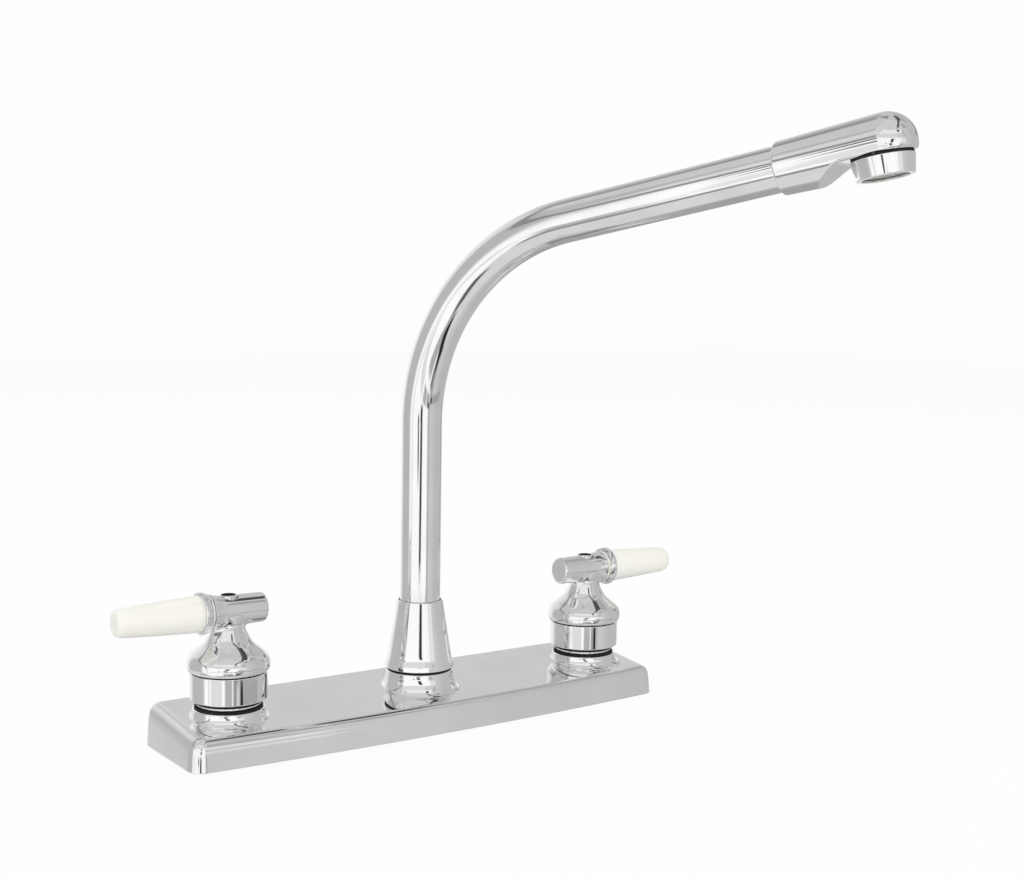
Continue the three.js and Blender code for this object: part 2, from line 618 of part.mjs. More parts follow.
function spoutNut() {
  const lip = SPOUT_NUT_FOOT_HEIGHT + 3.2;
  const inside = HUB_NECK_RADIUS + FIT;
  const chamber = UPPER_GLIDE + GLIDE_THICKNESS + RUN;
  return turned([
    [inside, SPOUT_NUT_FOOT_HEIGHT], [SPOUT_NUT_FOOT, SPOUT_NUT_FOOT_HEIGHT],
    [SPOUT_NUT_FOOT - 0.4, lip],
    [SPOUT_NUT_WAIST + 0.5, lip + 2], [SPOUT_NUT_WAIST, lip + 4.5],
    [SPOUT_NUT_NECK, SPOUT_NUT_TOP - 0.4], [SPOUT_NUT_NECK - 0.3, SPOUT_NUT_TOP],
    [TUBE_RADIUS + RUN, SPOUT_NUT_TOP],
    [TUBE_RADIUS + RUN, chamber], [inside, chamber],
  ]);
}

function spoutWasher() {
  return ring(
    BOSS_RADIUS - 0.6,
    HUB_NECK_RADIUS + FIT,
    SPOUT_WASHER_BOTTOM,
    SPOUT_WASHER_BOTTOM + WASHER_THICKNESS,
    MEDIUM,
  );
}

function glideRing(bottom) {
  return ring(HUB_NECK_RADIUS - 0.1, TUBE_RADIUS + RUN, bottom, bottom + GLIDE_THICKNESS, MEDIUM);
}

// Grooved brass foot of the spout, which turns in the hub and plugs into the tube.
function spoutShank() {
  const outer = TUBE_RADIUS + 0.1;
  const groove = outer - 1.7;
  const spigot = TUBE_RADIUS - TUBE_WALL - FIT;
  const bore = TUBE_RADIUS - TUBE_WALL - 2;
  const profile = [[bore, SHANK_FOOT], [outer - 0.5, SHANK_FOOT], [outer, SHANK_FOOT + 0.5]];
  for (const height of RING_HEIGHTS) {
    const top = height + RING_HEIGHT + FIT;
    profile.push([outer, height - FIT], [groove, height - FIT], [groove, top], [outer, top]);
  }
  profile.push(
    [outer, COLLAR_BOTTOM], [COLLAR_RADIUS, COLLAR_BOTTOM], [COLLAR_RADIUS, COLLAR_TOP],
    [spigot, COLLAR_TOP], [spigot, COLLAR_TOP + 11.5], [spigot - 0.5, COLLAR_TOP + 12],
    [bore, COLLAR_TOP + 12],
  );
  return turned(profile, MEDIUM);
}

function spoutRing(bottom) {
  return ring(TUBE_RADIUS + 0.15, TUBE_RADIUS - 1.4, bottom, bottom + RING_HEIGHT, MEDIUM);
}

// Centre line of the spout in its own plane: an upright run, a round bend and a rising arm.
class SpoutPath extends THREE.Curve {
  constructor(start, end) {
    super();
    this.start = start;
    this.end = end;
    this.steps = BEND_STEPS + 2;
    this.sweep = Math.PI / 2 - THREE.MathUtils.degToRad(ARM_RISE);
  }

  bend(turn) {
    const across = BEND_RADIUS * (1 - Math.cos(turn));
    return new THREE.Vector3(across, 0, BEND_START + BEND_RADIUS * Math.sin(turn));
  }

  heading(turn) {
    return new THREE.Vector3(Math.sin(turn), 0, Math.cos(turn));
  }

  turnAt(u) {
    return this.sweep * THREE.MathUtils.clamp((u * this.steps - 1) / BEND_STEPS, 0, 1);
  }

  // One step covers each straight run and the others share the bend.
  getPointAt(u) {
    const station = u * this.steps;
    const point = this.bend(this.turnAt(u));
    if (station < 1) point.z -= (1 - station) * (BEND_START - this.start);
    const past = Math.max(0, station - BEND_STEPS - 1);
    return point.addScaledVector(this.heading(this.sweep), past * this.end);
  }

  getTangentAt(u) {
    return this.heading(this.turnAt(u));
  }
}

const spoutPath = new SpoutPath(TUBE_FOOT, ARM_LENGTH + TUBE_INSERT);

function spoutTube() {
  const section = new THREE.Shape().absarc(0, 0, TUBE_RADIUS, 0, 2 * Math.PI);
  section.holes.push(new THREE.Path().absarc(0, 0, TUBE_RADIUS - TUBE_WALL, 0, 2 * Math.PI, true));
  return solid(new THREE.ExtrudeGeometry(section, {
    steps: spoutPath.steps,
    curveSegments: 8,
    extrudePath: spoutPath,
  }));
}

// ---- spout head, in a frame whose +X runs out along the arm from the head's rear rim ---------------

const OUTLET = HEAD_BODY - AERATOR_SETBACK;
const STUB_RADIUS = AERATOR_TOP_RADIUS - AERATOR_WALL - FIT - 0.2;
const OUTLET_BORE = STUB_RADIUS - 2.6;
const WATERWAY = HEAD_BALL_RADIUS / 2;
const STUB_FOOT = -HEAD_FLAT - STUB_LENGTH;
const HOUSING_TOP = -HEAD_FLAT - 0.5;
const HOUSING_FOOT = HOUSING_TOP - AERATOR_HEIGHT;
const LEDGE = STUB_FOOT - 1.8;
const LIP_TOP = HOUSING_FOOT + 1;

// Tapered head with a ball end, whose underside is scooped away up to the outlet's flat.
function spoutHead() {
  const profile = [[0, 0], [HEAD_REAR_RADIUS - 0.9, 0], [HEAD_REAR_RADIUS - 0.25, 0.5]];
  profile.push([HEAD_REAR_RADIUS, 1.5]);
  const steps = 6;
  for (let i = 0; i <= steps; i += 1) {
    const turn = (Math.PI / 2) * (i / steps);
    profile.push([HEAD_BALL_RADIUS * Math.cos(turn), HEAD_BODY + HEAD_BALL_RADIUS * Math.sin(turn)]);
  }
  const cut = new THREE.Shape();
  const low = -HEAD_BALL_RADIUS - 2;
  cut.moveTo(CHIN_START - 1, low);
  cut.lineTo(CHIN_START, -HEAD_REAR_RADIUS - 1.8);
  cut.bezierCurveTo(
    CHIN_START + SCOOP_RUN * 0.4, -HEAD_REAR_RADIUS * 0.72,
    CHIN_START + SCOOP_RUN * 0.72, -HEAD_FLAT,
    CHIN_START + SCOOP_RUN, -HEAD_FLAT,
  );
  cut.lineTo(HEAD_BODY + HEAD_BALL_RADIUS + 2, -HEAD_FLAT);
  cut.lineTo(HEAD_BODY + HEAD_BALL_RADIUS + 2, low);
  const depth = 2 * HEAD_BALL_RADIUS + 4;
  const scoop = new THREE.ExtrudeGeometry(cut, { depth, bevelEnabled: false, curveSegments: 6 })
    .translate(0, 0, -depth / 2).rotateX(Math.PI / 2);
  const stub = bar(STUB_RADIUS, STUB_FOOT, -HEAD_FLAT / 2).translate([OUTLET, 0, 0]);
  const waterway = bar(WATERWAY, TUBE_INSERT, OUTLET, FINE);
  const drop = bar(OUTLET_BORE, STUB_FOOT - 1, 0, MEDIUM).translate([OUTLET, 0, 0]);
  return alongX(turned(profile))
    .subtract(solid(scoop))
    .add(stub)
    .subtract(alongX(bar(TUBE_RADIUS + FIT, -1, TUBE_INSERT + FIT)))
    .subtract(alongX(waterway).translate([0, 0, WATERWAY - HEAD_FLAT + 1.4]))
    .subtract(drop);
}

function aeratorHousing() {
  const grip = STUB_RADIUS + FIT;
  const throat = AERATOR_FOOT_RADIUS - AERATOR_WALL;
  return turned([
    [grip, HOUSING_TOP], [AERATOR_TOP_RADIUS - 0.3, HOUSING_TOP],
    [AERATOR_TOP_RADIUS, HOUSING_TOP - 0.4], [AERATOR_FOOT_RADIUS, HOUSING_FOOT + 0.4],
    [AERATOR_FOOT_RADIUS - 0.4, HOUSING_FOOT], [throat - 1, HOUSING_FOOT], [throat - 1, LIP_TOP],
    [throat, LIP_TOP], [throat, LEDGE], [grip, LEDGE],
  ]).translate([OUTLET, 0, 0]);
}

function aeratorGasket() {
  return ring(STUB_RADIUS, OUTLET_BORE - 0.3, LEDGE + FIT, STUB_FOOT - FIT, MEDIUM)
    .translate([OUTLET, 0, 0]);
}

// A round plate with rings of holes, for the screen and the flow former.
function pierced(radius, bottom, top, hole, rows) {
  const cutter = bar(hole, bottom - 1, top + 1, 6);
  const plate = bar(radius, bottom, top, MEDIUM);
  const cuts = rows.flatMap(([offset, count]) => spread(cutter.translate([offset, 0, 0]), count));
  return cuts.reduce((body, cut) => body.subtract(cut), plate).translate([OUTLET, 0, 0]);
}

const INSERT_RADIUS = AERATOR_FOOT_RADIUS - AERATOR_WALL - FIT;
const SCREEN_THICKNESS = 0.5;

function aeratorScreen() {
  const top = LEDGE;
  return pierced(INSERT_RADIUS, top - SCREEN_THICKNESS, top, 0.9, [[2.4, 3], [5.8, 7]]);
}

function aeratorInsert() {
  const top = LEDGE - SCREEN_THICKNESS - FIT;
  return pierced(INSERT_RADIUS, LIP_TOP + FIT, top, 1.1, [[2, 2], [5.8, 7]]);
}

// ---- assembly ----------------------------------------------------------------------------------

const faucet = new THREE.Group();
faucet.name = 'kitchen_faucet';

place(faucet, 'deck_plate', deckPlate(), chrome);
place(faucet, 'base_plate', mouthSheet(BASE_BOTTOM, BASE_TOP), darkPlastic);
place(faucet, 'deck_gasket', mouthSheet(0, GASKET_THICKNESS), rubber);
place(faucet, 'spout_hub', spoutHub(), brass);
place(faucet, 'spout_washer', spoutWasher(), rubber);
place(faucet, 'spout_nut', spoutNut(), chrome);
place(faucet, 'glide_ring_lower', glideRing(LOWER_GLIDE), nylon);
place(faucet, 'glide_ring_upper', glideRing(UPPER_GLIDE), nylon);

for (const [side, sign] of [['hot', -1], ['cold', 1]]) {
  const valve = new THREE.Group();
  valve.position.x = (sign * INLET_SPACING) / 2;
  valve.rotation.z = sign > 0 ? 0 : Math.PI;
  place(valve, `end_body_${side}`, endBody(), brass);
  place(valve, `cross_tube_${side}`, crossTube(), copper);
  place(valve, `shank_locknut_${side}`, locknut(), brass);
  place(valve, `shank_washer_${side}`, shankWasher(), steel);
  place(valve, `seat_seal_${side}`, seatSeal(), rubber);
  place(valve, `cartridge_body_${side}`, cartridgeBody(), brass);
  place(valve, `fixed_disc_${side}`, valveDisc(DISC_RADIUS, FIXED_DISC_BOTTOM), ceramic);
  place(valve, `retainer_nut_${side}`, retainerNut(), brass);
  place(valve, `bonnet_washer_${side}`, bonnetWasher(), rubber);
  place(valve, `bonnet_sleeve_${side}`, bonnetSleeve(), chrome);
  place(valve, `moving_disc_${side}`, valveDisc(DISC_RADIUS, MOVING_DISC_BOTTOM).rotate([0, 0, 90]), ceramic);
  place(valve, `spindle_${side}`, spindle(), brass);
  place(valve, `spindle_ring_${side}`, spindleRing(), rubber);
  place(valve, `handle_hub_${side}`, handleHub(), chrome);
  place(valve, `handle_screw_${side}`, handleScrew(), steel);
  place(valve, `index_button_${side}`, indexButton(), chrome);
  place(valve, `lever_stud_${side}`, leverStud(), steel);
  place(valve, `ceramic_lever_${side}`, ceramicLever(), porcelain);
  faucet.add(valve);
}

const spout = new THREE.Group();
spout.rotation.z = THREE.MathUtils.degToRad(SPOUT_SWING - 90);
place(spout, 'spout_tube', spoutTube(), chrome);
place(spout, 'spout_shank', spoutShank(), brass);
place(spout, 'spout_ring_lower', spoutRing(RING_HEIGHTS[0]), rubber);
place(spout, 'spout_ring_upper', spoutRing(RING_HEIGHTS[1]), rubber);
faucet.add(spout);

const head = new THREE.Group();
const arm = spoutPath.heading(spoutPath.sweep);
head.position.copy(spoutPath.bend(spoutPath.sweep)).addScaledVector(arm, ARM_LENGTH);
head.rotation.y = -THREE.MathUtils.degToRad(ARM_RISE);
place(head, 'spout_head', spoutHead(), chrome);
place(head, 'aerator_housing', aeratorHousing(), chrome);
place(head, 'aerator_gasket', aeratorGasket(), rubber);
place(head, 'aerator_screen', aeratorScreen(), steel);
place(head, 'aerator_insert', aeratorInsert(), nylon);
spout.add(head);

export default faucet;
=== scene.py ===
"""Looks of the two handle kitchen faucet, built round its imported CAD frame."""

from math import asin, atan2, cos, pi, radians, sin, tan

import bpy
import numpy as np
from mathutils import Matrix, Vector
from mathutils.geometry import delaunay_2d_cdt


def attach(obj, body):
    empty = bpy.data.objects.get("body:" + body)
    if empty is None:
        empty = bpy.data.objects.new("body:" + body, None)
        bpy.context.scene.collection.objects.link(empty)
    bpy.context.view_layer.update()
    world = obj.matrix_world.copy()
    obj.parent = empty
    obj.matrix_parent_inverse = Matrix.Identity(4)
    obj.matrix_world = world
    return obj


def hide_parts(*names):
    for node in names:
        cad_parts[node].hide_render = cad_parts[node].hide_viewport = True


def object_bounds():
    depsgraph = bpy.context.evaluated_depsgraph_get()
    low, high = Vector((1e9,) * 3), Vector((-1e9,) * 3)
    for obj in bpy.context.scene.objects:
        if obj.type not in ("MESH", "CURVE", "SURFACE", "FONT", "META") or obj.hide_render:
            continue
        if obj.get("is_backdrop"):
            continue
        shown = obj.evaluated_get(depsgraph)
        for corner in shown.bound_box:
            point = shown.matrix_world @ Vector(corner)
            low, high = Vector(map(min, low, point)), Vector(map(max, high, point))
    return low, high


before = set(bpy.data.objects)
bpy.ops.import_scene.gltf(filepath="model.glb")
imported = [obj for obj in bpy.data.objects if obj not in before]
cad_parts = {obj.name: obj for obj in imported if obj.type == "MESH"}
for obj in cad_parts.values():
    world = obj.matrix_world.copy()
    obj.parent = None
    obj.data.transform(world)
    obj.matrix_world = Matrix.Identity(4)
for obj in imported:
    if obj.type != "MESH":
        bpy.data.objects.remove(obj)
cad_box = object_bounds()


# ---- camera ----------------------------------------------
# The photograph was taken from the front left, 6 degrees above level, with a normal lens.
# The camera stands where the picture's outlines say it stood.

lens = bpy.data.cameras.new("camera")
lens.sensor_width = 36
lens.lens = 55.56
camera = bpy.data.objects.new("camera", lens)
bpy.context.scene.collection.objects.link(camera)
bpy.context.scene.camera = camera
view_yaw, view_pitch, view_roll = 0.6148, 0.1056, 0.0164
ahead = Vector((sin(view_yaw) * cos(view_pitch), cos(view_yaw) * cos(view_pitch), -sin(view_pitch)))
level = Vector((cos(view_yaw), -sin(view_yaw), 0))
upright = level.cross(ahead)
right = cos(view_roll) * level + sin(view_roll) * upright
up = -sin(view_roll) * level + cos(view_roll) * upright
camera.matrix_world = Matrix((right, up, -ahead)).transposed().to_4x4()
camera.location = (-0.40248, -0.64578, 0.21918)
lens.clip_start, lens.clip_end = 0.01, 50


# ---- materials, worked out as sums -----------------------
# Wire lets a shader socket be used in arithmetic, and Bench adds the nodes of one material.
# Both serve every finish below.

class Wire:
    """A shader socket that sums can be done with."""

    def __init__(self, bench, socket):
        self.bench = bench
        self.socket = socket

    def math(self, operation, *values):
        return self.bench.node("ShaderNodeMath", {"operation": operation}, dict(enumerate(values)))

    def __rsub__(self, other):
        return self.math("SUBTRACT", other, self)

    def ramp(self, low, high):
        """0 below low, 1 above high and smooth between."""
        settings = {"interpolation_type": "SMOOTHSTEP"}
        return self.bench.node("ShaderNodeMapRange", settings, {0: self, 1: low, 2: high})


for method, operation in [
    ("__add__", "ADD"), ("__radd__", "ADD"), ("__sub__", "SUBTRACT"), ("__mul__", "MULTIPLY"),
    ("__rmul__", "MULTIPLY"), ("__truediv__", "DIVIDE"), ("__pow__", "POWER"), ("least", "MINIMUM"),
    ("most", "MAXIMUM"),
]:
    setattr(Wire, method, lambda self, other, kind=operation: self.math(kind, self, other))


class Bench:
    """Adds nodes to one material or world."""

    def __init__(self, tree):
        self.tree = tree

    def node(self, kind, settings=None, values=None, output=0):
        made = self.tree.nodes.new(kind)
        for key, value in (settings or {}).items():
            setattr(made, key, value)
        for key, value in (values or {}).items():
            if isinstance(value, Wire):
                self.tree.links.new(value.socket, made.inputs[key])
            else:
                made.inputs[key].default_value = value
        return Wire(self, made.outputs[output]) if made.outputs else None

    def split(self, kind, names, values=None):
        """Several outputs of one node."""
        made = self.node(kind, None, values).socket.node
        return [Wire(self, made.outputs[name]) for name in names]

    def mix(self, share, first, second):
        """A colour between two others."""
        values = {0: share, 6: first, 7: second}
        return self.node("ShaderNodeMix", {"data_type": "RGBA"}, values, 2)

    def noise(self, where, scale, detail=2.0, rough=0.5):
        values = {"Vector": where, "Scale": scale, "Detail": detail, "Roughness": rough}
        return self.node("ShaderNodeTexNoise", None, values)

    def stretched(self, where, x, y, z):
        """Coordinates drawn out along one or more axes."""
        settings = {"operation": "MULTIPLY"}
        return self.node("ShaderNodeVectorMath", settings, {0: where, 1: (x, y, z)})


class Finish(Bench):
    """One procedural material with a principled shader."""

    def __init__(self, name, **fixed):
        self.material = bpy.data.materials.new(name)
        self.material.use_nodes = True
        super().__init__(self.material.node_tree)
        self.shader = self.tree.nodes["Principled BSDF"]
        for key, value in fixed.items():
            self.shader.inputs[key.replace("_", " ")].default_value = value
        self.place = self.node("ShaderNodeTexCoord", output=3)

    def feed(self, **varying):
        for key, wire in varying.items():
            self.tree.links.new(wire.socket, self.shader.inputs[key.replace("_", " ")])
        return self.material

    def bump(self, height, depth, strength=1.0, under=None):
        values = {"Height": height, "Distance": depth, "Strength": strength}
        if under:
            values["Normal"] = under
        return self.node("ShaderNodeBump", None, values)


# ---- studio ----------------------------------------------
# A white tent on a pale table: the table top is the sink deck's level, so the shanks go below it.
# White panels, grey walls and the dark joints between them are what the chrome reflects.

table_level = -0.0003
bpy.ops.mesh.primitive_grid_add(x_subdivisions=4, y_subdivisions=4, size=6, location=(0, 0, table_level))
table = bpy.context.object
table.name = "table"
table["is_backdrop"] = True
table.visible_glossy = False
paper = bpy.data.materials.new("table_paper")
paper.use_nodes = True
bench = Bench(paper.node_tree)
bench.tree.nodes.clear()
seen = bench.split("ShaderNodeLightPath", ["Is Camera Ray", "Is Glossy Ray", "Is Transmission Ray"])
shown = (seen[0] + seen[1] + seen[2]).least(1)
lit = bench.node("ShaderNodeBsdfDiffuse", None, {"Color": (0.9, 0.9, 0.9, 1)})
glow = bench.node("ShaderNodeEmission", None, {"Color": (1, 1, 1, 1), "Strength": 1.0})
sheet = bench.node("ShaderNodeMixShader", None, {0: shown * 0.9, 1: lit, 2: glow})
below = bench.node("ShaderNodeNewGeometry", output=6)
clear = bench.node("ShaderNodeBsdfTransparent")
sheet = bench.node("ShaderNodeMixShader", None, {0: below, 1: sheet, 2: clear})
bench.node("ShaderNodeOutputMaterial", None, {0: sheet})
table.data.materials.append(paper)

world = bpy.data.worlds.new("tent")
bpy.context.scene.world = world
world.use_nodes = True
bench = Bench(world.node_tree)
bench.tree.nodes.clear()
camera_ray, glossy_ray = bench.split("ShaderNodeLightPath", ["Is Camera Ray", "Is Glossy Ray"])
toward = bench.node("ShaderNodeTexCoord")
east, north, height = bench.split("ShaderNodeSeparateXYZ", [0, 1, 2], {0: toward})
# Bearings in degrees, 0 at the front or at the back and growing anticlockwise, and degrees of rise.
front = east.math("ARCTAN2", east, north * -1) * (180 / pi)
back = east.math("ARCTAN2", east * -1, north) * (180 / pi)
rise = height.math("ARCSINE", height) * (180 / pi)


def between(wire, low, high, soft):
    """1 from low to high, falling to 0 over soft on either side."""
    return wire.ramp(low - soft, low) * (1 - wire.ramp(high, high + soft))


def along_seam(middle, half, soft):
    """1 near a line that is given as the height of its middle, in degrees."""
    off = rise - middle
    return 1 - off.math("ABSOLUTE", off).ramp(half, half + soft)


panels = [
    # brightness, bearings from and to, rises from and to, softness of the sides and of top and bottom
    (0.50, front, 70, 180, -90, -16, 40, 8),
    (0.60, back, -180, 180, 52, 90, 10, 8),
    (0.66, front, -90, 20, 52, 90, 10, 8),
    (1.04, front, -92, -30, -34, 12, 17, 8),
    (1.04, front, -72, -3, -34, 12, 5, 8),
    (0.98, front, -4, 5, 1, 14, 4, 3),
    (0.48, front, -112, -93, -40, -26, 6, 5),
    (0.88, front, -78, 10, 30, 41, 6, 5),
    (0.74, front, -82, -12, 17, 28, 8, 4),
    (0.80, front, 11, 21, 0, 12, 6, 3),
    (0.48, front, 3, 10, -13, -5, 3, 3),
    (0.64, front, -8, 13, 17, 28, 5, 4),
    (0.46, front, 17, 22, 20, 34, 4, 4),
    (0.44, front, -36, -16, -44, -25, 8, 5),
    (0.22, front, -4, 6, -36, -22, 4, 4),
    (0.36, front, 8, 13, -38, -17, 4, 4),
    (0.86, back, -40, 2, 4, 20, 24, 24),
    (0.95, back, -40, 2, -15, 10, 24, 7),
    (0.63, back, -46, -23, 13, 34, 3, 3),
    (0.49, back, -56, -48, 16, 26, 4, 4),
    (0.50, back, 32, 72, -16, 42, 12, 8),
    (0.72, front, -106, -97, 28, 36, 6, 3),
    (0.38, back, -50, -22, -70, -20, 6, 8),
    (0.40, back, -26, 6, 44, 58, 8, 6),
    (0.30, back, -52, -8, 68, 84, 8, 6),
    (0.42, front, 72, 114, 47, 59, 8, 5),
    (0.36, front, 34, 46, 44, 52, 6, 4),
    (0.36, front, 102, 107, -8, 2, 5, 3),
    (0.20, front, -89, -84, 1, 5, 2.5, 1.5),
    (0.82, front, -87, -83, -24, -6, 3, 3),
    (0.03, front, -92, -86, 10.8, 13.6, 3, 1),
    (0.30, front, -95, -86, -41, -36, 5, 3),
    (0.35, front, -80, -76, 37, 41, 3, 2),
    (0.04, front, -6, 0, 36, 42, 3, 2.5),
    (0.05, front, -52, -48, -7.2, -5.4, 3, 0.6),
    (0.76, front, -76, -46, -17.5, -12.7, 4, 0.8),
    (0.46, front, -33, -18, -17.5, -12.7, 6, 0.8),
    (0.34, front, -10, -3, -17.5, -12.7, 4, 0.8),
    (0.02, front, -2, 3, -14.3, -12.4, 3, 0.6),
    (0.02, front, 11, 16, -17, -14.8, 4, 0.6),
    (0.38, front, 21, 66, -18, -14.8, 4, 0.8),
    (0.06, front, 68, 100, 60, 66, 12, 2.5),
]
tent = 0.70 - front.ramp(0, 14) * 0.09 - front.ramp(18, 62) * 0.09
for level, bearing, first, last, low, high, soft_side, soft_height in panels:
    share = between(bearing, first, last, soft_side) * between(rise, low, high, soft_height)
    tent = tent + (level - tent) * share
# The joints of the tent bend with the bearing, and one upright slit between two panels leans.
low_seam = (front + 48) * (front + 48) * 0.0042 - 46
rear_seam = 53 - back.most(0) * 0.385
side_seam = 15 + (front - 90) * 0.2
high_seam = (front.most(0) / 60).least(1) ** 0.5 * 21 + 45
seams = [
    # brightness, middle, half width, softness, bearings from and to, softness of the ends
    (0.12, low_seam, 2.8, 5, front, -62, -38, 6),
    (0.02, low_seam, 3.4, 4.5, front, -24, 6, 5),
    (0.08, high_seam, 1.3, 3, front, 3, 92, 8),
    (0.28, rear_seam, 1.4, 3, back, -8, 86, 8),
    (0.06, side_seam, 1.3, 1.6, front, 90, 117, 4),
]
for level, middle, half, soft, bearing, first, last, soft_side in seams:
    share = along_seam(middle, half, soft) * between(bearing, first, last, soft_side)
    tent = tent + (level - tent) * share
slit = front + 30.8 - rise * 0.46
slit = (1 - slit.math("ABSOLUTE", slit).ramp(2, 9)) * 0.98
tent = tent * (1 - slit * (between(rise, -10.5, -5.2, 1) + between(rise, -0.6, 11, 1.2)))
level_light = camera_ray * 0.985 + (1 - camera_ray) * (glossy_ray * tent + (1 - glossy_ray) * 0.78)
sky = bench.node("ShaderNodeBackground", None, {"Color": (1, 1, 1, 1), "Strength": level_light})
bench.node("ShaderNodeOutputWorld", None, {0: sky})

for name, where, size, watts in [
    ("key", (-0.9, -1.1, 1.3), 1.0, 7),
    ("fill", (1.1, -0.9, 1.0), 0.9, 3),
    ("back", (0.1, 1.2, 1.3), 1.0, 4),
]:
    lamp = bpy.data.lights.new(name, "AREA")
    lamp.energy = watts
    lamp.size = size
    holder = bpy.data.objects.new(name, lamp)
    bpy.context.scene.collection.objects.link(holder)
    holder.location = where
    holder.rotation_euler = (Vector((0, 0, 0.1)) - Vector(where)).to_track_quat("-Z", "Y").to_euler()
    holder.visible_glossy = False
bpy.context.scene.view_settings.view_transform = "Standard"


# ---- deck plate ------------------------------------------
# The pressed shell that covers the holes: its top falls toward the sink, its front edge bows out and
# three bosses flare up from it. Steel, polished and chrome plated.

half_length, back_edge, front_edge = 130, 32.5, 25.7
bow, corner = 4.2, 7
hole_line_height, slope = 16.6, tan(radians(5.6))
lean, edge_rise, edge_run, end_run, shell = 1, 5, 3.8, 5.8, 2.2
boss_radius, boss_flare = 16.4, 7.6
inlet = 101.6
boss_sides, boss_reach, crease_fill = 128, 21, 1.3
hub_ledge, hub_clearance = 22.7, 13.7
# place, height of the top, radius of the hole
bosses = [(-inlet, 20.85, 12.9), (0, 25.25, 12.2), (inlet, 20.85, 12.9)]


def piece(name, points, faces, normals=None):
    """One smooth object from points in millimetres."""
    mesh = bpy.data.meshes.new(name)
    mesh.from_pydata((np.asarray(points, float) / 1000).tolist(), [], [list(f) for f in faces])
    mesh.shade_smooth()
    if normals is not None:
        mesh.normals_split_custom_set_from_vertices(np.asarray(normals, float).tolist())
    made = bpy.data.objects.new(name, mesh)
    bpy.context.scene.collection.objects.link(made)
    return made


def fix(made, body, slot, material, *nodes, at=None):
    """Sets a piece in place, on its body, with its finish, for the CAD nodes that it stands for."""
    if at is not None:
        made.data.transform(at)
    made.data.materials.clear()
    made.data.materials.append(material)
    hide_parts(*nodes)
    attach(made, body)
    return made


def top_height(y):
    return hole_line_height + slope * y


def plate_outline():
    """Points of the plan with the way each one moves when the outline is set in."""
    straight = half_length - corner
    along = np.linspace(-1, 1, 61)[1:-1]
    rows = [(t * straight, -front_edge - bow * (1 - t * t), 0, -1) for t in along]
    for x, y, start in [
        (straight, corner - front_edge, -90), (straight, back_edge - corner, 0),
        (-straight, back_edge - corner, 90), (-straight, corner - front_edge, 180),
    ]:
        if start == 90:
            rows += [(-t * straight, back_edge, 0, 1) for t in along]
        for turn in np.radians(start + np.linspace(0, 90, 13)):
            rows.append((x + corner * cos(turn), y + corner * sin(turn), cos(turn), sin(turn)))
    return np.array(rows)


outline = plate_outline()


def plate_loop(end_inset, side_inset, drop=None, level=None):
    """The outline set in, either at one level or a drop below the sloping top."""
    x = outline[:, 0] - end_inset * outline[:, 2]
    y = outline[:, 1] - side_inset * outline[:, 3]
    z = np.full(len(x), level) if drop is None else top_height(y) - drop
    return np.column_stack([x, y, z])


def blended(a, b, width):
    """The higher of two heights, with the crease between them filled over a width."""
    return np.maximum(a, b) + np.maximum(width - abs(a - b), 0) ** 2 / (4 * width)


def level_ring(x, radius, z, sides):
    """Points of a level circle round an upright axis."""
    around = np.linspace(0, 2 * pi, sides, endpoint=False)
    return np.column_stack([x + radius * np.cos(around), radius * np.sin(around), np.full(sides, z)])


def boss_rings(x, top, hole):
    """Rings of one boss from its hole out over the rim and down the flare."""
    foot = hole_line_height - shell - 1.2
    lift = top - 0.6 - foot
    section = [(hole, top - 0.3), (hole + 0.1, top - 0.08), (hole + 0.3, top), (boss_radius - 0.62, top)]
    for turn in np.linspace(0, pi / 2, 7)[1:-1]:
        section.append((boss_radius - 0.6 + 0.6 * sin(turn), top - 0.6 + 0.6 * cos(turn)))
    for turn in np.linspace(pi / 2, 0, 40):
        radius = boss_radius + boss_flare * (1 - sin(turn))
        if radius < boss_reach - 0.1:
            section.append((radius, foot + lift * (1 - cos(turn))))
    last_turn = asin(1 - (boss_reach - boss_radius) / boss_flare)
    section.append((boss_reach, foot + lift * (1 - cos(last_turn))))
    rings = []
    for radius, z in section:
        ring = level_ring(x, radius, z, boss_sides)
        ring[:, 2] = blended(ring[:, 2], top_height(ring[:, 1]), crease_fill)
        rings.append(ring)
    return rings


def strips(count, first, rows, flip=False):
    """Quads between rows of points that are numbered one after another."""
    faces = []
    for row in range(rows - 1):
        for i in range(count):
            a, b = first + row * count + i, first + row * count + (i + 1) % count
            quad = [a, b, b + count, a + count]
            faces.append(quad[::-1] if flip else quad)
    return faces


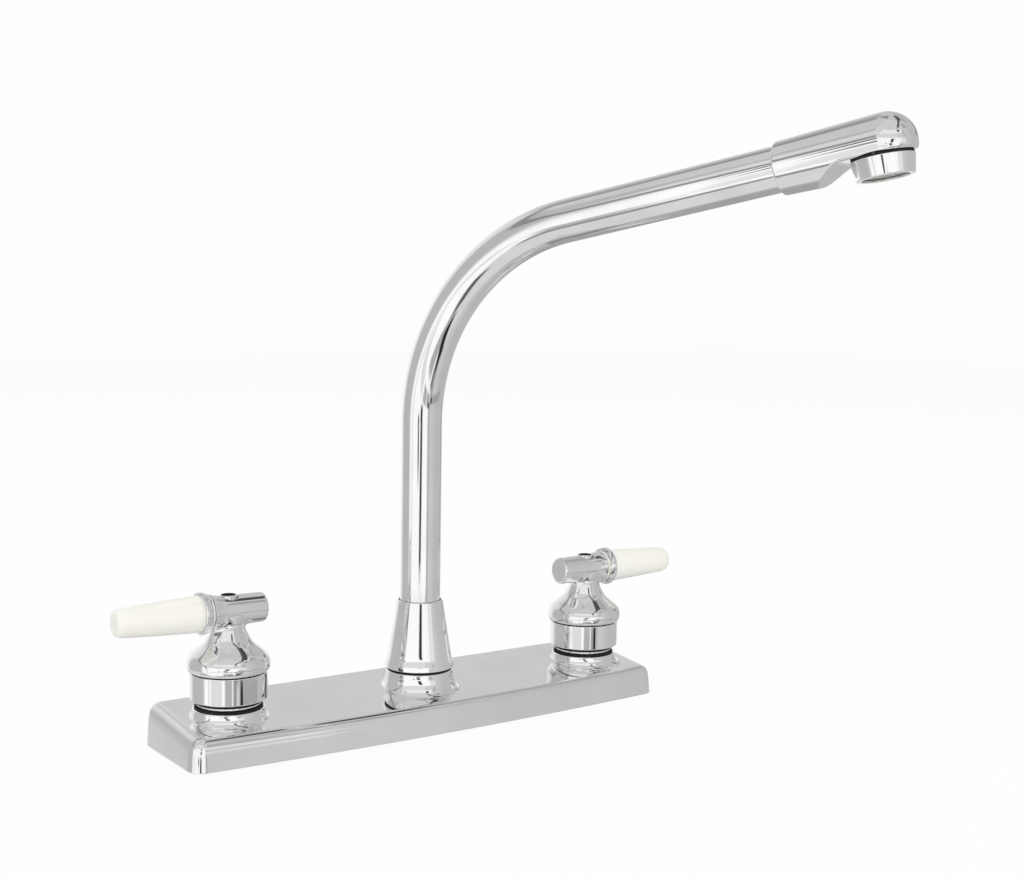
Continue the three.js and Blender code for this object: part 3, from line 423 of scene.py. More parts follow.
def fill_between(points, border, holes, drop, flip=False):
    """Triangles of a sheet inside a border and round some holes, a drop below the sloping top."""
    loops = [border, *holes]
    flat = [tuple(map(float, points[i][:2])) for loop in loops for i in loop]
    numbers = [i for loop in loops for i in loop]
    edges, start = [], 0
    for loop in loops:
        edges += [(start + i, start + (i + 1) % len(loop)) for i in range(len(loop))]
        start += len(loop)
    spots = np.array([points[loop].mean(0)[:2] for loop in holes])
    reach = [np.linalg.norm(points[loop[0]][:2] - spot) for loop, spot in zip(holes, spots)]
    rim = points[border][:, :2]
    low, high = rim.min(0), rim.max(0)
    for gx in np.arange(low[0] + 4, high[0] - 3, 5):
        for gy in np.arange(low[1] + 4, high[1] - 3, 5):
            if all(np.hypot(*(spot - (gx, gy))) > r + 1.5 for spot, r in zip(spots, reach)):
                if np.hypot(*(rim - (gx, gy)).T).min() > 1.5:
                    flat.append((gx, gy))
    made, _, triangles, source, _, _ = delaunay_2d_cdt([Vector(p) for p in flat], edges, [], 1, 1e-6)
    lookup, extra = {}, []
    for i, origin in enumerate(source):
        known = [o for o in origin if o < len(numbers)]
        if known:
            lookup[i] = numbers[known[0]]
        else:
            lookup[i] = len(points) + len(extra)
            extra.append((made[i].x, made[i].y, top_height(made[i].y) - drop))
    faces = []
    for triangle in triangles:
        middle = sum((Vector(made[i]) for i in triangle), Vector((0, 0))) / 3
        if all(np.hypot(*(spot - tuple(middle))) > r * 0.999 for spot, r in zip(spots, reach)):
            face = [lookup[i] for i in triangle]
            faces.append(face[::-1] if flip else face)
    return (np.vstack([points, extra]) if extra else points), faces


def deck_plate():
    """The shell: outside with its rounded edge and bosses first, then the hollow underside."""
    loops = [plate_loop(inset, inset, level=z) for inset, z in [(0.25, 0), (0.06, 0.1), (0, 0.35)]]
    loops.append(plate_loop(lean * 0.6, lean * 0.6, drop=edge_rise + 2))
    for turn in np.linspace(0, pi / 2, 13):
        spare, drop = 1 - cos(turn), edge_rise * (1 - sin(turn))
        loops.append(plate_loop(lean + end_run * spare, lean + edge_run * spare, drop))
    count = len(outline)
    points = np.vstack(loops)
    faces = strips(count, 0, len(loops))
    border = list(range(count * (len(loops) - 1), count * len(loops)))
    holes, mouths = [], []
    for boss in bosses:
        rings = boss_rings(*boss)
        mouths.append(len(points))
        faces += strips(boss_sides, len(points), len(rings), flip=True)
        points = np.vstack([points, *rings])
        holes.append(list(range(len(points) - boss_sides, len(points))))
    points, sheet = fill_between(points, border, holes, 0)
    faces += sheet
    inner = [
        plate_loop(shell, shell, level=0), plate_loop(shell + lean, shell + lean, drop=shell + edge_rise),
        plate_loop(shell + lean + end_run / 2, shell + lean + edge_run / 2, drop=shell),
    ]
    start = len(points)
    points = np.vstack([points, *inner])
    faces += strips(count, start, 3, flip=True)
    faces += [[i, start + i, start + (i + 1) % count, (i + 1) % count] for i in range(count)]
    border = list(range(start + 2 * count, start + 3 * count))
    holes = []
    for mouth, (x, _, hole) in zip(mouths, bosses):
        # Only the middle hole widens below its rim, to clear the hub.
        ledge = [] if x else [(hole, hub_ledge), (hub_clearance, hub_ledge)]
        wide = hole if x else hub_clearance
        below = [level_ring(x, radius, z, boss_sides) for radius, z in [*ledge, (wide, 0)]]
        below[-1][:, 2] = top_height(below[-1][:, 1]) - shell
        start = len(points)
        points = np.vstack([points, *below])
        faces += strips(boss_sides, start, len(below))
        for i in range(boss_sides):
            after = (i + 1) % boss_sides
            faces.append([start + i, start + after, mouth + after, mouth + i])
        holes.append(list(range(len(points) - boss_sides, len(points))))
    points, sheet = fill_between(points, border, holes, shell, flip=True)
    return points, faces + sheet


def weighted(made, limit=40):
    """Keeps flat faces flat where they run into rounded edges."""
    made.data.set_sharp_from_angle(angle=radians(limit))
    modifier = made.modifiers.new("weighted", "WEIGHTED_NORMAL")
    modifier.keep_sharp = True
    modifier.weight = 60
    return made


def plated(name, tone, haze):
    """Polished chrome plate: a faint bluish grey mirror with soft polishing haze and tiny pits."""
    chrome = Finish(name, Metallic=1.0)
    cloud = chrome.noise(chrome.place, 38.0, 3.0)
    swirl = chrome.noise(chrome.stretched(chrome.place, 1.0, 1.0, 5.0), 420.0, 2.0)
    pits = chrome.noise(chrome.place, 2600.0, 1.0).ramp(0.72, 0.8)
    bright = tuple(min(1, tone * c) for c in (1.0, 1.004, 1.012)) + (1,)
    dull = tuple(tone * c * 0.95 for c in (1.0, 1.0, 1.0)) + (1,)
    colour = chrome.mix(cloud.ramp(0.35, 0.7), bright, dull)
    rough = haze + cloud.ramp(0.4, 0.75) * 0.03 + swirl * 0.02 + pits * 0.08
    wave = chrome.noise(chrome.place, 60.0, 1.0)
    normal = chrome.bump(wave, 0.00006, 0.5)
    normal = chrome.bump(swirl, 0.000002, 0.3, under=normal)
    return chrome.feed(Base_Color=colour, Roughness=rough, Normal=normal)


plate_chrome = plated("plate_chrome", 0.93, 0.04)
fix(weighted(piece("chrome_plate", *deck_plate())), "base", "plated_plate", plate_chrome, "deck_plate")


# ---- turned parts ----------------------------------------
# Most other pieces come off a lathe. Each is drawn as half a section, its corners are eased by a small
# radius, and it is spun about its own axis with exact normals, so that polished faces stay true.

def eased(section, ease, closed):
    """Half a section with its corners rounded; gives points and their outward normals."""
    points = [np.array(p[:2], float) for p in section]
    radii = [p[2] if len(p) > 2 else ease for p in section]
    count = len(points)
    made = []
    for i, point in enumerate(points):
        if not closed and i in (0, count - 1):
            near = points[1] if i == 0 else points[-2]
            way = (near - point) if i == 0 else (point - near)
            made.append((point, np.array([way[1], -way[0]]) / np.linalg.norm(way)))
            continue
        before, after = points[i - 1], points[(i + 1) % count]
        one, two = point - before, after - point
        reach_one, reach_two = np.linalg.norm(one), np.linalg.norm(two)
        one, two = one / reach_one, two / reach_two
        turn = atan2(one[0] * two[1] - one[1] * two[0], one @ two)
        normal_one, normal_two = np.array([one[1], -one[0]]), np.array([two[1], -two[0]])
        if abs(turn) < radians(13):
            normal = normal_one + normal_two
            made.append((point, normal / np.linalg.norm(normal)))
            continue
        back = min(radii[i] * tan(abs(turn) / 2), reach_one * 0.48, reach_two * 0.48)
        radius = back / tan(abs(turn) / 2)
        centre = point - one * back - normal_one * radius * np.sign(turn)
        steps = max(2, round(abs(turn) / radians(18)))
        for step in range(steps + 1):
            angle = turn * step / steps
            normal = np.array([
                normal_one[0] * cos(angle) - normal_one[1] * sin(angle),
                normal_one[0] * sin(angle) + normal_one[1] * cos(angle),
            ])
            made.append((centre + normal * radius * np.sign(turn), normal))
    return made


def turned(name, section, ease=0.2, sides=96, closed=None, thread=None):
    """A piece spun about Z from half a section drawn counter-clockwise as (radius, height, ease).

    A thread is given by its lower and upper ends, its pitch and its depth.
    """
    if closed is None:
        closed = section[0][0] > 0
    profile = eased(section, ease, closed)
    if thread:
        profile = with_thread_rows(profile, thread[2])
    around = np.linspace(0, 2 * pi, sides, endpoint=False)
    points, normals = [], []
    for (radius, height), (out, up_part) in profile:
        radius = max(radius, 0)
        reach = np.full(sides, radius)
        if thread:
            low, high, pitch, depth = thread
            fade = min(1, max(0, (height - low) / pitch)) * min(1, max(0, (high - height) / pitch))
            if fade > 0 and out > 0.9:
                phase = (height / pitch - around / (2 * pi)) % 1
                reach = reach - depth * fade * (1 - np.clip(abs(phase - 0.5) * 2.6 - 0.15, 0, 1))
        points.append(level_ring(0, reach, height, sides))
        normals.append(level_ring(0, out, up_part, sides))
    faces = strips(sides, 0, len(profile))
    last = (len(profile) - 1) * sides
    if closed:
        faces += [[last + i, last + (i + 1) % sides, (i + 1) % sides, i] for i in range(sides)]
    else:
        # The first and last rows are the two poles on the axis, with one point each in use.
        faces[:sides] = [[0, far, near] for _, _, far, near in faces[:sides]]
        faces[-sides:] = [[near, far, last] for near, far, _, _ in faces[-sides:]]
    points, normals = np.vstack(points), np.vstack(normals)
    used = sorted({i for f in faces for i in f})
    renumber = {old: new for new, old in enumerate(used)}
    faces = [[renumber[i] for i in f] for f in faces]
    made = piece(name, points[used], faces, None if thread else normals[used])
    return weighted(made, 60) if thread else made


def ring_section(inner, outer, low, high):
    """The four corners of a plain ring's section."""
    return [(inner, low), (outer, low), (outer, high), (inner, high)]


def with_thread_rows(profile, pitch):
    """Adds rows of points along the upright stretches of a section, eight to each turn of thread."""
    made = []
    for i, (point, normal) in enumerate(profile):
        made.append((point, normal))
        if i + 1 < len(profile):
            far = profile[i + 1][0]
            upright_run = abs(far[0] - point[0]) < 1e-6 and normal[0] > 0.9
            if upright_run and abs(far[1] - point[1]) > pitch:
                rows = int(abs(far[1] - point[1]) / pitch * 8)
                for step in range(1, rows):
                    made.append((point + (far - point) * step / rows, normal))
    return made


def valve_place(side):
    """The frame of one valve: its +X points away from the spout."""
    if side == "hot":
        return Matrix.Translation((-inlet / 1000, 0, 0)) @ Matrix.Rotation(pi, 4, "Z")
    return Matrix.Translation((inlet / 1000, 0, 0))


# ---- valve sleeves and their washers ---------------------
# A polished cylinder screwed down over each valve body, chamfered below, on a black rubber washer that
# shows as a thin dark ring.

def moulded_rubber(name):
    """Black rubber: dull, with a fine grain and a dusty bloom."""
    rubber = Finish(name, Specular_IOR_Level=0.3)
    grain = rubber.noise(rubber.place, 1800.0, 3.0)
    bloom = rubber.noise(rubber.place, 90.0, 3.0).ramp(0.45, 0.75)
    colour = rubber.mix(bloom * 0.5, (0.012, 0.012, 0.013, 1), (0.035, 0.034, 0.033, 1))
    rough = 0.6 + grain * 0.2 + bloom * 0.12
    return rubber.feed(Base_Color=colour, Roughness=rough, Normal=rubber.bump(grain, 0.00002, 0.5))


black_rubber = moulded_rubber("black_rubber")
brass_chrome = plated("brass_chrome", 0.94, 0.035)
sleeve_radius, sleeve_top, sleeve_foot, bore = 17.6, 37.35, 21.9, 12.9
for side in ("hot", "cold"):
    at = valve_place(side)
    sleeve = turned(f"sleeve_{side}", [
        (bore, sleeve_foot), (sleeve_radius - 3, sleeve_foot, 0.3),
        (sleeve_radius - 2.4, sleeve_foot + 1.6, 0.8), (sleeve_radius, sleeve_foot + 3.3, 0.6),
        (sleeve_radius, sleeve_top, 0.35), (sleeve_radius - 1.7, sleeve_top),
        (sleeve_radius - 1.7, sleeve_foot + 7), (bore, sleeve_foot + 6),
    ], sides=144)
    fix(sleeve, "base", "plated_brass", brass_chrome, f"bonnet_sleeve_{side}", at=at)
    washer = turned(f"sleeve_washer_{side}", ring_section(bore, 15.5, 20.9, 21.8), 0.3)
    fix(washer, "base", "black_rubber", black_rubber, f"bonnet_washer_{side}", at=at)


# ---- spout foot ------------------------------------------
# The polished cone that holds the spout down, with a lip at its foot, on its own black washer.

cone = turned("spout_cone", [
    (12.2, 26.5), (17, 26.5, 0.3), (16.75, 28.9, 1.2), (15.85, 31.2, 2), (15.3, 34.3, 3),
    (11.2, 59.3, 0.4), (10.3, 59.6, 0.15), (10.3, 45.7), (12.2, 45.7),
], sides=160)
fix(cone, "base", "plated_brass", brass_chrome, "spout_nut")
washer = turned("spout_cone_washer", ring_section(12.2, 15.8, 25.3, 26.4), 0.3)
fix(washer, "base", "black_rubber", black_rubber, "spout_washer")


# ---- spout tube ------------------------------------------
# One length of drawn brass tube, bent round a former, polished and plated: an upright run, a round bend
# and an arm that climbs to its tip.

tube_radius, tube_wall = 9.9, 1.1
tube_foot, bend_start, bend_radius = 44, 146, 98.3
climb, arm_length, insert = radians(11.7), 104.5, 13
sweep = pi / 2 - climb
spout_place = Matrix.Rotation(radians(23.1 - 90), 4, "Z")


def tube_stations():
    """Points and headings along the tube's centre line in its own plane."""
    rows = [((0, z), (0, 1)) for z in np.linspace(tube_foot, bend_start, 12)[:-1]]
    for turn in np.linspace(0, sweep, 61):
        place = (bend_radius * (1 - cos(turn)), bend_start + bend_radius * sin(turn))
        rows.append((place, (sin(turn), cos(turn))))
    (x, z), (dx, dz) = rows[-1]
    for run in np.linspace(0, arm_length + insert, 14)[1:]:
        rows.append(((x + dx * run, z + dz * run), (dx, dz)))
    return rows


def bent_tube(name, sides=80):
    """The tube's outside from foot to tip, then its inside back down."""
    stations = tube_stations()
    inside = tube_radius - tube_wall
    around = np.linspace(0, 2 * pi, sides, endpoint=False)
    points, normals = [], []
    order = [(s, tube_radius, 1) for s in stations] + [(s, inside, -1) for s in stations[::-1]]
    for ((x, z), (dx, dz)), radius, sign in order:
        side, lift = np.cos(around), np.sin(around)
        away = np.column_stack([lift * dz, side, -lift * dx])
        points.append(np.array([x, 0, z]) + radius * away)
        normals.append(sign * away)
    rows = len(order)
    faces = strips(sides, 0, rows, flip=True)
    last = (rows - 1) * sides
    faces += [[last + i, last + (i + 1) % sides, (i + 1) % sides, i][::-1] for i in range(sides)]
    return piece(name, np.vstack(points), faces, np.vstack(normals))


tube_chrome = plated("tube_chrome", 0.94, 0.035)
fix(bent_tube("bent_spout"), "spout", "plated_tube", tube_chrome, "spout_tube", at=spout_place)


# ---- spout head ------------------------------------------
# A zinc casting on the arm's end: a slight taper to a ball end, with the underside scooped away to a
# flat for the aerator. Cast pieces are skinned over a field of distances, so that creases are rounded.

def skin(field, low, high, pitch):
    """An even net of quads over the zero surface of a field in millimetres, with exact normals."""
    low, high = np.array(low, float), np.array(high, float)
    size = np.ceil((high - low) / pitch / 3).astype(int) * 3 + 1
    axes = [low[i] + pitch * np.arange(size[i]) for i in range(3)]
    coarse = field(*np.meshgrid(*[a[::3] for a in axes], indexing="ij"))
    nearest = [np.minimum((np.arange(n) + 1) // 3, coarse.shape[i] - 1) for i, n in enumerate(size)]
    value = coarse[np.ix_(*nearest)]
    close = np.argwhere(abs(value) < 4.2 * pitch)
    spots = low + pitch * close
    value[tuple(close.T)] = field(*spots.T)
    inside = value < 0
    cell = tuple(n - 1 for n in size)
    total, weight = np.zeros(cell + (3,)), np.zeros(cell)
    corners = [(i, j, k) for i in (0, 1) for j in (0, 1) for k in (0, 1)]
    for a in corners:
        for axis in range(3):
            if a[axis]:
                continue
            b = tuple(1 if n == axis else a[n] for n in range(3))
            part_a = tuple(slice(a[n], a[n] + cell[n]) for n in range(3))
            part_b = tuple(slice(b[n], b[n] + cell[n]) for n in range(3))
            crossing = inside[part_a] != inside[part_b]
            first, second = value[part_a][crossing], value[part_b][crossing]
            step = np.zeros((len(first), 3)) + a
            step[:, axis] = first / (first - second)
            total[crossing] += step
            weight[crossing] += 1
    mixed = weight > 0
    number = np.full(cell, -1)
    number[mixed] = np.arange(mixed.sum())
    points = low + pitch * (np.argwhere(mixed) + total[mixed] / weight[mixed][:, None])
    faces = []
    for axis in range(3):
        one, two = (axis + 1) % 3, (axis + 2) % 3
        front = [slice(None)] * 3
        back = [slice(None)] * 3
        front[axis], back[axis] = slice(0, -1), slice(1, None)
        change = inside[tuple(front)].astype(int) - inside[tuple(back)]
        where = np.argwhere(change != 0)
        where = where[(where[:, one] > 0) & (where[:, two] > 0)]
        where = where[(where[:, one] < size[one] - 1) & (where[:, two] < size[two] - 1)]
        sign = change[tuple(where.T)]
        ring = []
        for i, j in [(0, 0), (-1, 0), (-1, -1), (0, -1)]:
            shift = where.copy()
            shift[:, one] += i
            shift[:, two] += j
            ring.append(number[tuple(shift.T)])
        ring = np.column_stack(ring)
        ring[sign < 0] = ring[sign < 0][:, ::-1]
        faces.append(ring)
    for _ in range(4):
        slope_here = gradient(field, points)
        length = np.maximum((slope_here ** 2).sum(1), 0.05)
        move = slope_here * (field(*points.T) / length)[:, None]
        points = points - np.clip(move, -0.5 * pitch, 0.5 * pitch)
    normals = gradient(field, points)
    normals /= np.maximum(np.linalg.norm(normals, axis=1), 1e-9)[:, None]
    return points, np.vstack(faces), normals


def gradient(field, points, reach=0.02):
    """The way in which a field grows, from differences over a short reach."""
    columns = []
    for axis in range(3):
        offset = np.zeros(3)
        offset[axis] = reach
        columns.append((field(*(points + offset).T) - field(*(points - offset).T)) / (2 * reach))
    return np.column_stack(columns)


def joined(a, b, fillet):
    """The nearer of two fields, with a fillet where they meet."""
    return np.minimum(a, b) - np.maximum(fillet - abs(a - b), 0) ** 2 / (4 * fillet)


def cut(a, b, ease):
    """A field with another one cut out of it, the edge eased."""
    return -joined(-a, b, ease)


def section_field(section, radius, height):
    """Signed distance from half a section that is spun about an axis."""
    points = np.array(section, float)
    ends = np.roll(points, -1, axis=0)
    best = np.full(np.shape(radius), 1e9)
    inside = np.zeros(np.shape(radius), bool)
    for (ax, ay), (bx, by) in zip(points, ends):
        ex, ey = bx - ax, by - ay
        wx, wy = radius - ax, height - ay
        if abs(ax) + abs(bx) > 1e-9 and ex * ex + ey * ey > 1e-12:
            along = np.clip((wx * ex + wy * ey) / (ex * ex + ey * ey), 0, 1)
            best = np.minimum(best, (wx - ex * along) ** 2 + (wy - ey * along) ** 2)
        crosses = (ay > height) != (by > height)
        with np.errstate(divide="ignore", invalid="ignore"):
            at = ax + ex * (height - ay) / (by - ay if by != ay else 1)
        inside ^= crosses & (radius < at)
    return np.where(inside, -1, 1) * np.sqrt(best)


def rod_field(radius, low, high, across, height):
    """Signed distance from a round bar."""
    return np.maximum(across - radius, abs(height - (low + high) / 2) - (high - low) / 2)


rear_radius, ball_radius, head_body, flat = 11.4, 12.53, 45.5, 4.4
chin_start, scoop_run, outlet = 15, 14, 42.9
head_section = [p for p, _ in eased(
    [(0, 0), (rear_radius, 0, 0.7), (ball_radius, head_body, 0.1)]
    + [(ball_radius * cos(t), head_body + ball_radius * sin(t)) for t in np.linspace(0, pi / 2, 22)[1:]],
    0.3, False)]


def chin_height(along):
    """How far below the axis the scooped underside lies at each place along the head."""
    t = np.linspace(0, 1, 60)
    xs = [chin_start, chin_start + scoop_run * 0.4, chin_start + scoop_run * 0.72, chin_start + scoop_run]
    ys = [-rear_radius - 1.8, -rear_radius * 0.72, -flat, -flat]
    curve = [
        (1 - t) ** 3 * v[0] + 3 * (1 - t) ** 2 * t * v[1] + 3 * (1 - t) * t * t * v[2] + t ** 3 * v[3]
        for v in (xs, ys)
    ]
    return np.interp(along, curve[0], curve[1])


def scoop_field(x, z):
    """Distance above the scooped underside, measured square to its curve."""
    lean_here = (chin_height(x + 0.25) - chin_height(x - 0.25)) / 0.5
    return (z - chin_height(x)) / np.sqrt(1 + lean_here ** 2)


def head_field(x, y, z):
    """The head with its socket for the tube, its scooped underside and its stub for the aerator."""
    across = np.hypot(y, z)
    body = section_field(head_section, across, x)
    body = cut(body, scoop_field(x, z), 1.0)
    down = np.hypot(x - outlet, y)
    stub = rod_field(11.4, -8.7, -2, down, z)
    body = np.minimum(body, stub)
    body = cut(body, rod_field(10.2, -2, 13.3, across, x), 0.15)
    return cut(body, rod_field(8.8, -12, 0, down, z), 0.2)


bend_end = Vector((bend_radius * (1 - cos(sweep)), 0, bend_start + bend_radius * sin(sweep)))
arm = Vector((sin(sweep), 0, cos(sweep)))
arm_end = Matrix.Translation((bend_end + arm * arm_length) / 1000)
head_place = spout_place @ arm_end @ Matrix.Rotation(-climb, 4, "Y")
zinc_chrome = plated("zinc_chrome", 0.93, 0.04)
head_skin = skin(head_field, (-1.2, -13.8, -13.8), (59.2, 13.8, 13.8), 0.4)
fix(piece("head_casting", *head_skin), "spout", "plated_zinc", zinc_chrome, "spout_head", at=head_place)


# ---- aerator ---------------------------------------------
# A tapered plated ring screwed up under the head, holding a rubber gasket, a pierced steel screen and a
# nylon former whose holes break the water up.

def pierced(name, radius, low, high, hole, rings, pitch=0.3):
    """A round sheet with rings of holes, as (distance out, number of holes)."""
    spots = [
        (far * cos(2 * pi * i / count), far * sin(2 * pi * i / count))
        for far, count in rings for i in range(count)
    ]

    def field(x, y, z):
        body = rod_field(radius, low, high, np.hypot(x, y), z)
        for px, py in spots:
            body = np.maximum(body, hole - np.hypot(x - px, y - py))
        return body

    reach = radius + 1
    return piece(name, *skin(field, (-reach, -reach, low - 1), (reach, reach, high + 1), pitch))


def moulded(name, colour, worn_and_shade, rough, grain_depth=0.00001, shine=0.4):
    """Moulded plastic, rubber or foam: a fine grain over soft cloudy marks."""
    plastic = Finish(name, Specular_IOR_Level=shine)
    grain = plastic.noise(plastic.place, 1400.0, 3.0)
    cloud = plastic.noise(plastic.place, 55.0, 3.0).ramp(0.4, 0.75)
    # The second colour is wear on most pieces, and painted shade on the aerator's nylon and the button's
    # black top.
    tint = plastic.mix(cloud * 0.7, (*colour, 1), (*worn_and_shade, 1))
    bump = plastic.bump(grain, grain_depth, 0.5)
    return plastic.feed(Base_Color=tint, Roughness=rough + grain * 0.15 + cloud * 0.08, Normal=bump)


def machined(name, colour, stain, rough, rings=9000.0, share=0.4):
    """Bare metal: fine tool rings along its length, with darker stains."""
    metal = Finish(name, Metallic=1.0)
    cloud = metal.noise(metal.place, 45.0, 4.0)
    marks = metal.noise(metal.stretched(metal.place, 0.02, 0.02, 1.0), rings, 2.0)
    cast = metal.noise(metal.place, 900.0, 3.0)
    tint = metal.mix(cloud.ramp(0.42, 0.72) * share, (*colour, 1), (*stain, 1))
    bump = metal.bump(marks, 0.000004, 0.5)
    bump = metal.bump(cast, 0.000012, 0.35, under=bump)
    return metal.feed(Base_Color=tint, Roughness=rough + cloud * 0.12 + marks * 0.1, Normal=bump)


aerator_place = head_place @ Matrix.Translation((outlet / 1000, 0, 0))
housing = turned("aerator_ring", [
    (11.7, -5.4), (11.7, -10.5), (10.6, -10.5), (10.6, -12.5), (9.6, -12.5), (9.6, -13.5, 0.3),
    (11.8, -13.5, 0.4), (13.05, -5.4, 0.3),
], sides=128)
fix(housing, "spout", "plated_brass", brass_chrome, "aerator_housing", at=aerator_place)
joint = turned("aerator_joint", ring_section(11.5, 12.7, -5.3, -4.5), 0.25, sides=128)
joint.data.transform(aerator_place)
joint.data.materials.append(black_rubber)
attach(joint, "spout")
gasket = turned("aerator_seal", ring_section(8.5, 11.4, -10.2, -9), 0.4)
fix(gasket, "spout", "black_rubber", black_rubber, "aerator_gasket", at=aerator_place)
sieve = pierced("aerator_sieve", 10.3, -11, -10.5, 0.9, [(2.4, 3), (5.8, 7)], 0.25)
screen_steel = machined("screen_steel", (0.55, 0.55, 0.54), (0.32, 0.30, 0.27), 0.35)
fix(sieve, "spout", "zinc_steel", screen_steel, "aerator_screen", at=aerator_place)
former = pierced("aerator_former", 10.3, -12.2, -11.3, 1.1, [(2, 2), (5.8, 7)])
# White nylon painted a dark grey-beige: painted shade for the dim inside of the aerator.
nylon_painted_shade = moulded("nylon_painted_shade", (0.42, 0.40, 0.37), (0.24, 0.22, 0.20), 0.45)
fix(former, "spout", "white_nylon", nylon_painted_shade, "aerator_insert", at=aerator_place)


# ---- handles ---------------------------------------------
# One zinc casting each: a domed skirt, a neck and a barrel across the top with a flared mouth for the
# ceramic lever. A screw under a small plated plug holds it on the valve's spindle.

lever_height, barrel_radius = 65, 6.8
dome = [
    (18.3, 38.4), (18.75, 39.3), (18.94, 41.0), (18.85, 42.2), (18.45, 43.6), (17.75, 44.9),
    (16.8, 45.9), (15.7, 46.8), (14.5, 47.7), (13.3, 48.65), (12.2, 49.6), (11.25, 50.5), (10.4, 51.6),
    (9.7, 52.7), (9.1, 53.9), (8.5, 55.1), (7.95, 56.3), (7.4, 57.6), (7.0, 59.0), (6.9, 62),
]


def softened(section, times=2):
    """Rounds a string of points by cutting its corners."""
    points = np.array(section, float)
    for _ in range(times):
        near, far = points[:-1] * 0.75 + points[1:] * 0.25, points[:-1] * 0.25 + points[1:] * 0.75
        points = np.vstack([points[:1], np.stack([near, far], 1).reshape(-1, 2), points[-1:]])
    return points


dome_section = np.vstack([[(0, 38), (18.0, 38)], softened(dome), [(0, 62)]])
barrel_section = np.vstack([
    [(0, -17.2), (5.6, -17.2), (6.2, -17.03), (6.62, -16.65), (6.8, -16.0)],
    softened([(6.8, -16), (6.95, -8), (7.1, 1), (7.35, 5), (7.85, 8), (8.6, 10.2), (9.3, 11.8), (9.6, 13)]),
    [(9.7, 13.6), (9.66, 14.1), (9.45, 14.4), (9.1, 14.5), (0, 14.5)],
])
hollow_section = [(0, 37), (15.7, 37), (15.7, 41.1), (13.3, 44.1), (4.2, 46.5), (4.2, 57.5), (0, 57.5)]


def handle_field(x, y, z):
    """Dome and barrel joined, then the hollow, the screw's and the button's holes and the mouth."""
    across = np.hypot(x, y)
    round_barrel = np.hypot(y, z - lever_height)
    body = section_field(dome_section, across, z)
    body = joined(body, section_field(barrel_section, round_barrel, x), 2.4)
    body = cut(body, section_field(hollow_section, across, z), 0.1)
    body = cut(body, rod_field(2.3, 56, 67.7, across, z), 0.1)
    body = cut(body, rod_field(4.4, 66.4, 80, across, z), 0.3)
    body = cut(body, rod_field(8.7, 9.5, 16, round_barrel, x), 0.25)
    return cut(body, rod_field(3.2, 5.7, 14.5, round_barrel, x), 0.1)


handle_skin = skin(handle_field, (-19.6, -19.6, 37.4), (19.6, 19.6, 75.4), 0.4)

lever_section = [
    (3.2, 9.8), (8.3, 9.8, 0.5), (8.4, 15, 0.3), (7.35, 38, 8), (6.45, 51.3, 3.2), (5.6, 53.9, 1.9),
    (0, 54.3), (0, 46.3), (3.2, 46.3),
]


def along_lever():
    """Turns a piece made on the Z axis to lie along the barrel."""
    return Matrix.Translation((0, 0, lever_height / 1000)) @ Matrix.Rotation(pi / 2, 4, "Y")


def glazed(name):
    """Ivory porcelain under a clear glaze, with faint mottling and a slightly wavy surface."""
    glaze = Finish(name, Coat_Weight=0.6, Coat_Roughness=0.03, Subsurface_Weight=0.12, IOR=1.52)
    glaze.shader.inputs["Subsurface Radius"].default_value = (0.004, 0.003, 0.002)
    glaze.shader.inputs["Subsurface Scale"].default_value = 0.6
    mottle = glaze.noise(glaze.place, 70.0, 4.0)
    speck = glaze.noise(glaze.place, 1500.0, 2.0).ramp(0.7, 0.78)
    colour = glaze.mix(mottle.ramp(0.3, 0.75), (0.93, 0.91, 0.83, 1), (0.95, 0.94, 0.88, 1))
    colour = glaze.mix(speck * 0.25, colour, (0.8, 0.76, 0.64, 1))
    wave = glaze.noise(glaze.place, 110.0, 2.0)
    waves = glaze.bump(wave, 0.00012, 0.4)
    return glaze.feed(Base_Color=colour, Roughness=0.1 + mottle * 0.1, Normal=waves)


ivory_glaze = glazed("ivory_glaze")
button_chrome = plated("button_chrome", 0.93, 0.06)
# Matt black for the middle of the button's top: painted shade.
button_painted_shade = moulded("button_painted_shade", (0.015, 0.015, 0.016), (0.03, 0.03, 0.03), 0.5, shine=0.0)


def screw_field(x, y, z):
    """A slotted screw down the middle of the handle."""
    across = np.hypot(x, y)
    head = rod_field(4, 66.7, 69.3, across, z)
    threaded = np.maximum((across - 1.88 - 0.12 * np.sin(z * 2 * pi / 0.7)) * 0.6, 49.2 - z)
    body = np.minimum(head, np.maximum(threaded, z - 66.9))
    return np.maximum(body, -np.maximum(abs(x) - 0.5, 68.1 - z))


